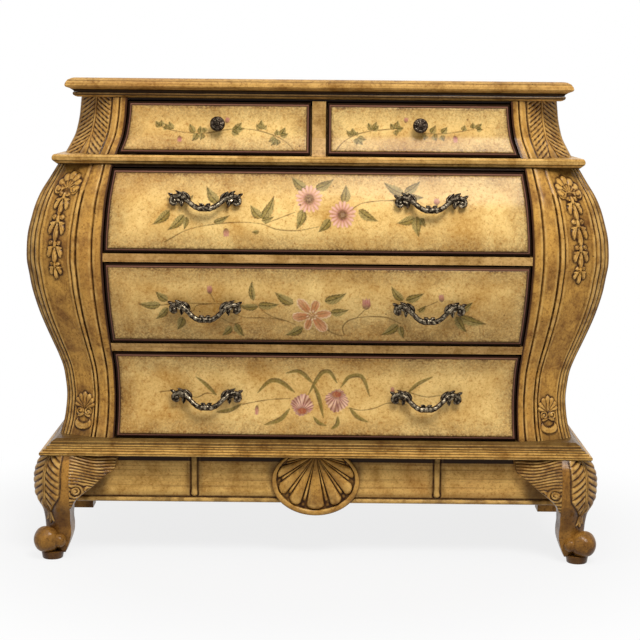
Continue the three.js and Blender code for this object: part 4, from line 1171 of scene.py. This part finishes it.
def daisy(x, z, points, radius):
    """Many narrow petals round a dark heart with a few pale dots."""
    petals = 17
    dx, dz = x - points[0][0], z - points[0][1]
    r, turn = np.hypot(dx, dz) / radius, np.arctan2(dz, dx)
    wave = np.abs(np.cos(turn * petals / 2 + 0.7))
    edge = 0.8 + 0.2 * wave + 0.05 * np.sin(turn * 5)
    inside = 1 - step_up(r, edge - 0.06, edge + 0.03)
    colour = blended(rose, pale_rose, step_up(wave, 0.2, 0.9) * step_up(r, 0.2, 0.75))
    heart = 1 - step_up(r, 0.26, 0.5)
    colour = blended(colour, plum, 0.95 * heart)
    dots = (np.cos(dx * 2600) * np.cos(dz * 2600) > 0.6) & (r < 0.15)
    cover = 0.4 + 0.6 * over(step_up(wave, 0.15, 0.6), heart)
    return blended(colour, cream, 0.3 * dots), 0.9 * inside * cover


def lily(x, z, points, radius):
    """Six pointed petals with pale edges and fine veins."""
    dx, dz = x - points[0][0], z - points[0][1]
    r, turn = np.hypot(dx, dz) / (1.15 * radius), np.arctan2(dz, dx) + 0.1
    share = (turn / (2 * np.pi) * 6 + 0.25) % 1 - 0.5
    long = 0.86 + 0.14 * np.cos(turn * 2 + 1)
    taper = np.clip(1 - r / long, 0, 1) ** 0.42 * np.clip(r / 0.2, 0.7, 1)
    wide = (0.6 + 0.08 * np.cos(turn * 3 + 2)) * taper + 0.02 * np.sin(r * 40)
    inside = (1 - step_up(np.abs(share), wide - 0.07, wide + 0.02)) * (r < long)
    rim = step_up(np.abs(share), wide - 0.13, wide - 0.02)
    veins = 0.5 + 0.5 * np.cos(share * 52)
    colour = blended(salmon, cream, np.clip(0.8 * rim + 0.4 * veins * step_up(r, 0.35, 0.9), 0, 1))
    colour = blended(colour, plum, 0.75 * (1 - step_up(r, 0.1, 0.4)) * veins)
    colour = blended(colour, stem_brown, 0.75 * np.exp(-((share / 0.045) ** 2)) * (1 - step_up(r, 0.5, 0.85)))
    colour = blended(colour, stem_brown, 0.45 * step_up(share, 0.1 * wide, wide) * (1 - rim))
    ring = np.exp(-(((r - 0.2) / 0.05) ** 2)) * (np.cos(turn * 9) > 0)
    return blended(colour, cream, 0.8 * ring), 0.9 * inside


def carnation(x, z, points, radius, facing):
    """A full bloom: long petals curling out of a dark oval mouth that faces up or down."""
    dx, dz = x - points[0][0], z - points[0][1]
    edge_turn = np.arctan2(dz, dx)
    edge = 0.84 + 0.1 * np.abs(np.cos(edge_turn * 9 + 0.5)) + 0.06 * np.cos(edge_turn * 4 + 1)
    inside = 1 - step_up(np.hypot(dx, dz) / radius, edge - 0.06, edge + 0.03)
    mz = dz - facing * 0.5 * radius
    r, turn = np.hypot(dx, 1.5 * mz) / radius, np.arctan2(mz, dx)
    fold = np.cos(turn * 25 + 2.2 * np.sin(2 * turn + 1) - 1.2 * facing * r * np.sign(dx))
    drift = 0.5 + 0.5 * np.cos(turn * 5 + 3 * r)
    colour = blended(rose, pale_rose, np.clip(0.3 + 0.45 * drift + 0.25 * fold, 0, 1))
    lit = step_up(fold, 0.2, 1.0) * step_up(r, 0.5, 1.1) * (0.4 + 0.6 * drift)
    colour = blended(colour, cream, 0.6 * lit)
    colour = blended(colour, plum, 0.35 * (1 - drift) * step_up(r, 0.5, 1.2))
    hollows = over(0.8 * np.exp(-(((fold + 1) / 0.35) ** 2)), 0.6 * (1 - step_up(r, 0.4, 0.7)))
    colour = blended(colour, plum, hollows)
    mouth = 1 - step_up(r, 0.3, 0.42)
    return blended(colour, mouth_red, mouth), 0.9 * inside


mm = 0.001
spray_room = 0.006


def laid(shape, *rows, **more):
    """Shapes to paint, each from its half width or radius and its points, in millimetres."""
    return [(shape, np.array(points) * mm, size * mm, more) for size, *points in rows]


def spray_over(shapes, x, z):
    """Colour and cover of painted shapes over a face; a later shape lies over an earlier one."""
    out = np.zeros((len(x), 4), np.float32)
    for shape, points, size, more in shapes:
        room = 1.15 * size + spray_room
        near = (x > points[:, 0].min() - room) & (x < points[:, 0].max() + room)
        near &= (z > points[:, 1].min() - room) & (z < points[:, 1].max() + room)
        near = np.flatnonzero(near)
        if len(near):
            colour, cover = shape(x[near], z[near], points, size, **more)
            cover = cover[:, None]
            out[near, :3] = out[near, :3] * (1 - cover) + colour * cover
            out[near, 3:] = 1 - (1 - out[near, 3:]) * (1 - cover)
    out[:, :3] /= np.maximum(out[:, 3:], 1e-3)
    return out


# The sprays: half widths or radii and points, in millimetres from the middle of each drawer's face
sprays = {
    "upper_drawer": [
        *laid(
            vine,
            (1.1, (-283, -56), (-242, -34), (-193, -23), (-141, -19), (-103, -22), (-77, -31),
             (-38, -33), (1, -26)), (0.8, (-98, -21), (-77, -13), (-43, 0)),
            (1, (60, 5), (80, 17), (112, 22), (142, 24), (157, 32))),
        *laid(
            leaf,
            (6, (-275, 1), (-307, -25)), (6, (-248, -7), (-279, -35)), (4, (-244, -10), (-248, -34)),
            (6.5, (-185, 15), (-208, 46)), (3, (-242, 19), (-232, 30)), (6.5, (-103, -13), (-82, 30)),
            (6, (-105, -11), (-126, 13)), (4, (-104, -16), (-81, -8)), (4, (-193, -20), (-163, -6)),
            (6.5, (-24, 42), (-50, 64)), (6, (-5, 42), (29, 61)), (6.5, (-28, 5), (-40, -32)),
            (6.5, (48, 18), (51, 51)), (6, (22, -12), (0, -36)), (6, (75, 5), (112, -15)),
            (6, (158, 35), (121, 56)), (5.5, (160, 36), (190, 59)), (4.5, (164, 32), (197, 29)),
            (6, (179, -8), (145, -18)), (6.5, (183, -6), (187, -44)), (4, (190, -8), (199, -25)),
            (3, (-109, -36), (-123, -36))),
        *laid(bud, (6.5, (-170, -30), (-169, -48)), (6.5, (220, 15), (219, 29))),
        *laid(daisy, (25, (-17, 24)), (25, (45, -4))),
    ],
    "middle_drawer": [
        *laid(
            vine,
            (0.9, (-292, -2), (-257, 2), (-214, 2), (-162, 1), (-108, -4)),
            (0.7, (-231, -13), (-225, -2), (-201, 1)),
            (1, (-160, -14), (-136, -24), (-101, -25), (-66, -28), (-40, -38)),
            (1.3, (13, -42), (30, -54), (50, -58), (48, -42), (60, -28), (90, -21), (130, -22), (156, -34)),
            (0.6, (-201, 26), (-191, 6)), (0.7, (75, -22), (90, -6)), (0.8, (188, -7), (224, 10)),
            (0.8, (-108, -4), (-92, -18), (-66, -29)), (0.7, (-179, -26), (-157, -37), (-140, -33))),
        *laid(
            leaf,
            (5.5, (-292, -1), (-335, 1)), (5.5, (-279, 7), (-301, 25)), (5, (-279, -7), (-303, -30)),
            (6, (-251, -25), (-262, -50)), (4.5, (-119, 9), (-121, 48)), (5.5, (-110, 0), (-70, 2)),
            (5, (-110, -3), (-149, -1)), (6.5, (-45, 3), (-80, 26)), (6.5, (14, 8), (55, 25)),
            (5.5, (25, -14), (60, -7)), (6, (-27, -43), (-60, -59)), (5.5, (-153, -37), (-136, -63)),
            (5, (-160, -42), (-179, -61)), (5.5, (159, 11), (137, 39)), (5.5, (165, 12), (199, 26)),
            (6, (152, -36), (119, -57)), (4.5, (156, -39), (164, -64)), (5.5, (264, -10), (290, 10)),
            (6.5, (266, -19), (318, -33)), (5.5, (260, -19), (282, -51)), (3.5, (190, -11), (203, 3))),
        *laid(bud, (6, (-200, 20), (-201, 39)), (9.5, (92, -7), (91, 17)), (6, (232, 9), (230, 26))),
        *laid(lily, (36, (-10, -19))),
    ],
    "lower_drawer": [
        *laid(
            vine,
            (0.9, (-298, 5), (-271, 7), (-229, -5), (-210, 3), (-191, 1)),
            (1, (-141, -18), (-107, -11), (-76, -7), (-50, -6)),
            (1.1, (63, -23), (84, -27), (111, -23), (137, -13), (172, -16)),
            (0.8, (177, 8), (209, 0), (236, 3))),
        *laid(
            blade,
            (5, (-42, 7), (-70, 28), (-89, 28), (-113, 4)), (4.5, (39, 26), (24, 48), (9, 45), (-16, 1)),
            (4.5, (-7, 25), (-33, 48), (-59, 44)), (4.5, (-6, 23), (4, -2), (14, -43)),
            (4.5, (47, 18), (63, 38), (86, 38), (102, -1)), (5, (-51, -26), (-68, -45), (-100, -57)),
            (4, (-5, -41), (5, -52), (20, -57)), (4.5, (41, -40), (40, -54), (28, -64)),
            (4.5, (64, -24), (79, -40), (100, -50)), (4, (-191, 0), (-211, 21), (-230, 36)),
            (4, (175, 8), (193, 25), (222, 40)), (4.5, (-189, -33), (-164, -29), (-141, -16))),
        *laid(bud, (4.5, (-113, -19), (-114, -41)), (4.5, (146, 4), (144, 21))),
        *laid(carnation, (23, (-27, -18)), facing=-1),
        *laid(carnation, (24, (39, -9)), facing=1),
    ],
    "left_small_drawer": [
        *laid(
            vine,
            (1, (-303, 8), (-287, -2), (-239, -10), (-207, -9), (-179, -4), (-151, -1), (-115, -4),
             (-79, -15), (-59, -27), (-44, -42))),
        *laid(
            leaf,
            (4, (-297, 1), (-307, 13)), (4, (-296, 2), (-296, 14)), (3, (-292, 1), (-283, -3)),
            (4, (-273, -3), (-282, 12)), (3, (-275, -2), (-291, 8)), (4.5, (-233, -9), (-243, 8)),
            (4.5, (-223, -10), (-223, 4)), (4.5, (-228, -10), (-238, -25)), (4.5, (-219, -10), (-222, -23)),
            (4, (-211, -7), (-218, 1)), (5, (-163, -3), (-139, 0)), (4.5, (-157, -2), (-145, 11)),
            (4, (-163, -5), (-149, -12)), (4.5, (-107, -2), (-108, 16)), (4, (-109, -1), (-118, 8)),
            (3.5, (-105, -1), (-98, 6)), (4.5, (-73, -13), (-63, 3)), (4, (-77, -13), (-79, -1)),
            (4, (-72, -14), (-57, -9)), (4.5, (-81, -17), (-95, -25)), (4, (-79, -19), (-90, -32)),
            (4, (-77, -20), (-79, -32))),
        *laid(bud, (5, (-261, -15), (-261, -28)), (5, (-175, 9), (-169, 21))),
    ],
    "right_small_drawer": [
        *laid(
            vine,
            (1, (30, -42), (46, -24), (70, -10), (98, -3), (138, 1), (158, 2)),
            (0.8, (194, -7), (230, -7), (262, -3), (290, 2))),
        *laid(
            leaf,
            (4, (64, -12), (51, -2)), (4, (66, -11), (63, 3)), (3, (68, -11), (73, -5)),
            (4.5, (72, -16), (83, -29)), (4, (73, -15), (90, -19)), (3.5, (70, -17), (71, -29)),
            (4, (100, -2), (92, 13)), (4, (101, -1), (108, 15)), (3.5, (102, -2), (113, 8)),
            (4, (142, 1), (134, 12)), (4.5, (144, 1), (148, 17)), (4, (146, 1), (159, 4)),
            (4, (144, -1), (146, -12)), (4.5, (210, -6), (219, 9)), (4.5, (230, -6), (241, 6)),
            (4, (200, -9), (197, -19)), (4.5, (216, -8), (221, -21)), (4.5, (230, -10), (235, -21)),
            (4, (270, -1), (274, 10)), (4, (290, 3), (289, 15)), (4, (294, 3), (306, 13)),
            (3.5, (296, 2), (308, 2))),
        *laid(bud, (5, (255, -10), (257, -25)), (5, (162, 13), (165, 24))),
    ],
}
long_drawers = ("lower_drawer", "middle_drawer", "upper_drawer")
small_drawers = ("left_small_drawer", "right_small_drawer")
foot_shade_shares, foot_shade_tall = {"middle_drawer": 0.75, "lower_drawer": 0.15}, 0.13  # painted shade at a drawer's foot


def front_of(name, stage):
    """A drawer's front with its moulded edge and the marks for its paint."""
    x, y, z, d = face_grid(name, stage)
    body = slab_of(np.stack([x, y, z], axis=-1), lambda edge: np.stack(
        [edge[:, 0], stage["front"](edge[:, 2]) + front_thick, edge[:, 2]], axis=-1))
    behind = len(body[0]) - x.size
    low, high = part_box(f"{name}_front")
    picture = spray_over(sprays[name], x.ravel(), z.ravel() - (low.z + high.z) / 2)
    share = d / front_border
    # Painted shade: towards the face's edges, and at the foot of the middle and lower drawers, where the face
    # turns down
    foot = foot_shade_shares.get(name, 0) * (1 - step_up(z - low.z, 0, foot_shade_tall))
    border = over(0.95 * (1 - step_up(share, 0.75, 2.4)), 0.6 * (1 - step_up(share, 1, 6)))
    marks = {
        "edge": np.pad((1 - step_up(share, 0.62, 0.98)).ravel(), (0, behind), constant_values=1),
        # A painted highlight along the middle of the moulded edge
        "line": np.pad(np.exp(-(((share - 0.5) / 0.1) ** 2)).ravel(), (0, behind)),
        "shade": np.pad(over(foot, border).ravel(), (0, behind)),
        "spray": np.pad(picture, [(0, behind), (0, 0)]),
    }
    make_piece(f"painted_{name}_front", [body], face_paint, name, [f"{name}_front"], marks)


for name in long_drawers:
    front_of(name, lower_stage)
for name in small_drawers:
    front_of(name, upper_stage)

# Pulls and knobs

pull_half, pull_tall, pull_reach, pull_thick = 0.0665, 0.017, 0.024, 0.0095
pull_height_shares = {"lower_drawer": 0.466, "middle_drawer": 0.454, "upper_drawer": 0.59}
rose_rings = [(0.0075, 0), (0.0078, 0.0012), (0.0062, 0.0022), (0.0042, 0.004)]
rose_neck, rose_head, dome_radius, dome_tall = 0.004, 0.0055, 0.0048, 0.0045
pull_leaf_halves, pull_leaf_thick, pull_leaf_curl = (0.0052, 0.0045, 0.0042, 0.0036, 0.004), 0.0038, 0.0012
pull_leaf_shares = [
    ((0.42, 0.05), (0.64, 1.15), 0.62), ((0.5, 0.2), (0.83, 1.25), 0.56), ((0.6, 0.3), (0.66, -0.55), 0.5),
    ((0.88, 0.5), (1.04, 1.0), 0.44), ((0.03, -0.8), (0.16, -0.35), 0.92),
]
pull_shares = [
    (0, -0.86, 0.9, 1.2), (0.16, -0.86, 0.92, 1.1), (0.33, -0.52, 0.88, 1.0), (0.5, 0.1, 0.72, 1.0),
    (0.65, 0.54, 0.53, 1.1), (0.81, 0.68, 0.46, 1), (0.93, 0.46, 0.44, 0.85), (0.955, 0.02, 0.44, 0.75),
    (0.87, -0.24, 0.44, 0.65), (0.79, -0.08, 0.44, 0.6),
]


def tube(path, radii):
    """A cast bar along a path, round in section."""
    along = np.gradient(path, axis=0)
    along /= np.linalg.norm(along, axis=1, keepdims=True)
    out = np.array([0, -1.0, 0]) + along * along[:, 1:2]
    out /= np.linalg.norm(out, axis=1, keepdims=True)
    level = np.cross(out, along)
    turn = np.linspace(0, 2 * np.pi, 14, endpoint=False)
    spokes = out[:, None] * np.cos(turn)[None, :, None] + level[:, None] * np.sin(turn)[None, :, None]
    return loft(path[:, None] + spokes * np.asarray(radii)[:, None, None])


def cast_leaf(base, tip, half, thick, out, curl=0.0):
    """A cast leaf with a sunk vein, standing out of the bar."""
    base, tip = np.array(base), np.array(tip)
    long = tip - base
    side = np.array([-long[1], long[0]]) / np.linalg.norm(long)
    t = np.linspace(0.01, 0.99, 20)
    s = np.linspace(-1, 1, 13)
    wide = half * np.sin(np.pi * t**0.8) ** 0.7
    lift = out + thick * np.sqrt(1 - s * s) * (1 - 0.45 * np.exp(-((s / 0.22) ** 2)))
    body = []
    for share, reach in zip(t, wide):
        middle = base + long * share + side * curl * math.sin(math.pi * share)
        front = [(middle + side * reach * v, o) for v, o in zip(s, lift)]
        back = [(middle + side * reach * v, out - 0.4 * thick) for v in s[::-1]]
        body.append([(place[0], -o, place[1]) for place, o in front + back])
    return loft(body)


def spun(centre, rings):
    """A round body that stands out of the face, from rings of radius and reach."""
    turn = np.linspace(0, 2 * np.pi, 24, endpoint=False)
    return loft([
        [(centre[0] + r * math.cos(t), -h, centre[1] + r * math.sin(t)) for t in turn] for r, h in rings])


def pull_bodies():
    """A bowed cast bar with beads at its middle, two roses, two scroll eyes and leaves."""
    right = np.array(pull_shares)
    shares = np.concatenate([right[:0:-1] * [-1, 1, 1, 1], right])
    at = np.arange(len(shares))
    fine = np.linspace(0, len(shares) - 1, 150)
    across, up, out, thick = (smooth_through(at, shares[:, k])(fine) for k in range(4))
    path = np.stack([across * pull_half, -out * pull_reach, up * pull_tall], axis=-1)
    from_middle = np.abs(fine - (len(pull_shares) - 1))
    beads = 1 + 0.05 * np.sin(from_middle * 9) * (from_middle < 3.2)
    bodies = [tube(path, thick * pull_thick / 2 * beads)]
    reach = 0.5 * pull_reach
    rose = rose_rings + [(rose_neck, 0.7 * reach), (rose_head, reach)]
    steps = np.linspace(0, np.pi / 2, 10)
    dome = [(max(dome_radius * math.cos(t), 0.0001), reach + dome_tall * math.sin(t)) for t in steps]
    for hand in (-1, 1):
        bodies.append(spun((hand * 0.7 * pull_half, 0.42 * pull_tall), rose))
        bodies.append(spun((hand * 0.85 * pull_half, 0.12 * pull_tall), [(dome_radius, 0.8 * reach)] + dome))
        for (base, tip, forward), half in zip(pull_leaf_shares, pull_leaf_halves):
            ends = [(hand * aside * pull_half, level * pull_tall) for aside, level in (base, tip)]
            out = forward * pull_reach
            bodies.append(cast_leaf(*ends, half, pull_leaf_thick, out, pull_leaf_curl * hand))
    return bodies


knob_radius, knob_long, knob_height_share = 0.014, 0.023, 0.548
petal_height, petal_sink = 0.0011, 0.0005
knob_shares = [
    (0, 0), (0.64, 0), (0.66, 0.05), (0.6, 0.09), (0.4, 0.16), (0.32, 0.28), (0.33, 0.4), (0.42, 0.52),
    (0.74, 0.56), (0.93, 0.61), (1, 0.7), (0.99, 0.76), (0.94, 0.83), (0.82, 0.87), (0.68, 0.88), (0.62, 0.84),
    (0.5, 0.86), (0.34, 0.88), (0.3, 0.93), (0.22, 0.98), (0, 1),
]


def knob_bodies():
    """A turned knob with a cast rosette on its face."""
    at = np.arange(len(knob_shares))
    fine = np.linspace(0, len(knob_shares) - 1, 90)
    radius, height = (smooth_through(at, [row[k] for row in knob_shares])(fine) for k in (0, 1))
    turn = np.linspace(0, 2 * np.pi, 72, endpoint=False)
    on_face = (fine > 12) & (fine < 18)
    rings = []
    for r, h, face in zip(radius, height, on_face):
        lift = (petal_height * np.abs(np.cos(4 * turn)) ** 0.6 - petal_sink) * face
        r = max(r, 0.01) * knob_radius
        rings.append(np.stack([r * np.cos(turn), -(h * knob_long + lift), r * np.sin(turn)], axis=-1))
    return [loft(rings)]


def seated(bodies, drawer, node, stage, share, half_high):
    """Bodies set on a drawer's face where their solid stands, leaning with the face."""
    low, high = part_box(f"{drawer}_front")
    z = low.z + share * (high.z - low.z)
    low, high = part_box(node)
    x = (low.x + high.x) / 2
    face = lambda dz: float(stage["front"](z + dz)) - front_proud
    slope = (face(half_high) - face(-half_high)) / (2 * half_high)
    out = min(face(dz) - slope * dz for dz in (-half_high, 0, half_high)) - glue_gap
    cos, sin = math.cos(-math.atan(slope)), math.sin(-math.atan(slope))
    turned = []
    for points, faces in bodies:
        px, py, pz = np.asarray(points).reshape(-1, 3).T
        leaning = [x + px, out + py * cos - pz * sin, z + py * sin + pz * cos]
        turned.append((np.stack(leaning, axis=-1), faces))
    return turned


cast_pull, turned_knob = pull_bodies(), knob_bodies()
for name in long_drawers:
    for hand in hands:
        node = f"{name}_pull_{hand}"
        bodies = seated(cast_pull, name, node, lower_stage, pull_height_shares[name], pull_tall)
        make_piece(f"cast_{node}", bodies, bronze, name, [node])
for name in small_drawers:
    node = f"{name}_knob"
    bodies = seated(turned_knob, name, node, upper_stage, knob_height_share, knob_radius)
    make_piece(f"turned_{node}", bodies, bronze, name, [node])

# The plain pieces keep their solids, with eased edges

painted_pieces = {
    slab_ochre: ["top_slab", "cornice_moulding"],
    waist_ochre: ["waist_moulding"],
    base_ochre: ["base_moulding"],
    apron_ochre: ["side_apron_left", "side_apron_right"],
    black: ["waist_rail"],
    ochre: ["lower_web_frame", "upper_web_frame", "centre_divider"],
    post_ochre: ["upper_side_left", "upper_side_right", "side_panel_left", "side_panel_right"],
    leg_ochre: ["rear_leg_left", "rear_leg_right"],
}
plain_wood = [
    f"{name}_{part}" for name in long_drawers + small_drawers
    for part in ("side_left", "side_right", "bottom", "back")
]


def ease(node, material):
    """A solid kept as it is, with its edges eased and a material."""
    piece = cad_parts[node]
    piece.data.materials.clear()
    piece.data.materials.append(material)
    piece.data.polygons.foreach_set("use_smooth", [True] * len(piece.data.polygons))
    piece.data.set_sharp_from_angle(angle=plain_sharp)
    bevel = piece.modifiers.new("eased_edges", "BEVEL")
    bevel.width, bevel.segments, bevel.harden_normals = eased_edge, 2, True
    bevel.limit_method, bevel.angle_limit = "ANGLE", eased_angle


for paint, nodes in painted_pieces.items():
    for node in nodes:
        ease(node, paint)
for node in plain_wood:
    ease(node, side_wood if "_side_" in node else drawer_wood)
ease("back_panel", rear_wood)

# Floor, light and camera


def seen_directly(tree):
    """One for rays from the camera and rays that glossy or clear surfaces pass on."""
    rays = add(tree, "LightPath").outputs
    seen = calc(tree, "MAXIMUM", rays["Is Camera Ray"], rays["Is Glossy Ray"])
    return calc(tree, "MAXIMUM", seen, rays["Is Transmission Ray"])


def pale_floor():
    """Pale near the chest, running out to white further off."""
    material, tree, surface = new_material("pale_floor")
    fill_in(tree, surface, {"Base Color": (0.6, 0.6, 0.6, 1), "Roughness": 0.9, "Specular IOR Level": 0.1})
    where = add(tree, "TexCoord").outputs["Object"]
    far = add(tree, "VectorMath", {0: where}, operation="LENGTH").outputs["Value"]
    glow = add(tree, "Emission", {"Color": white, "Strength": 1.0})
    share = calc(tree, "MULTIPLY", seen_directly(tree), spread(tree, far, 0.45, 1.0, 0.82, 1.0))
    both = add(tree, "MixShader", {0: share, 1: surface.outputs[0], 2: glow.outputs[0]})
    tree.links.new(both.outputs[0], tree.nodes["Material Output"].inputs["Surface"])
    return material


bpy.ops.mesh.primitive_plane_add(size=12, location=(0, 0, 0))
floor = bpy.context.object
floor.name = "floor"
floor.data.materials.append(pale_floor())


def soft_lamp(name, place, target, size, power):
    """A square lamp that faces a point."""
    lamp = bpy.data.lights.new(name, "AREA")
    lamp.shape, lamp.size, lamp.energy = "SQUARE", size, power
    holder = bpy.data.objects.new(name, lamp)
    holder.location = place
    aim = Matrix.Translation(target).translation - Matrix.Translation(place).translation
    holder.rotation_euler = aim.to_track_quat("-Z", "Y").to_euler()
    bpy.context.scene.collection.objects.link(holder)


soft_lamp("key", (0.9, -2.6, 3.5), (0, 0, 0.5), 1.5, 138)
soft_lamp("fill", (-2.6, -2.8, 1.9), (0, 0, 0.45), 2.6, 14)
soft_lamp("top", (-0.5, -1.4, 3.2), (0, 0, 0.5), 2.0, 26)

world = bpy.data.worlds.new("studio")
bpy.context.scene.world = world
world.use_nodes = True
sky = world.node_tree
sky.nodes.clear()
seen = add(sky, "Background", {"Color": white, "Strength": 1.0})
lit = add(sky, "Background", {"Color": white, "Strength": 0.2})
joined = add(sky, "MixShader", {0: seen_directly(sky), 1: lit.outputs[0], 2: seen.outputs[0]})
sky.links.new(joined.outputs[0], add(sky, "OutputWorld").inputs["Surface"])

bpy.context.scene.view_settings.view_transform = "Standard"

# The camera that was fitted to the photo's edges
focal_pixels, picture_pixels = 1700, 640
lens = bpy.data.cameras.new("camera")
lens.sensor_width = 36
lens.lens = focal_pixels * lens.sensor_width / picture_pixels
camera = bpy.data.objects.new("camera", lens)
camera.matrix_world = (
    Matrix.Translation((0.001, -3.361, 0.905)) @ Matrix.Rotation(math.radians(-0.08), 4, "Z")
    @ Matrix.Rotation(math.radians(82.115), 4, "X") @ Matrix.Rotation(math.radians(0.56), 4, "Z")
)
bpy.context.scene.collection.objects.link(camera)
bpy.context.scene.camera = camera

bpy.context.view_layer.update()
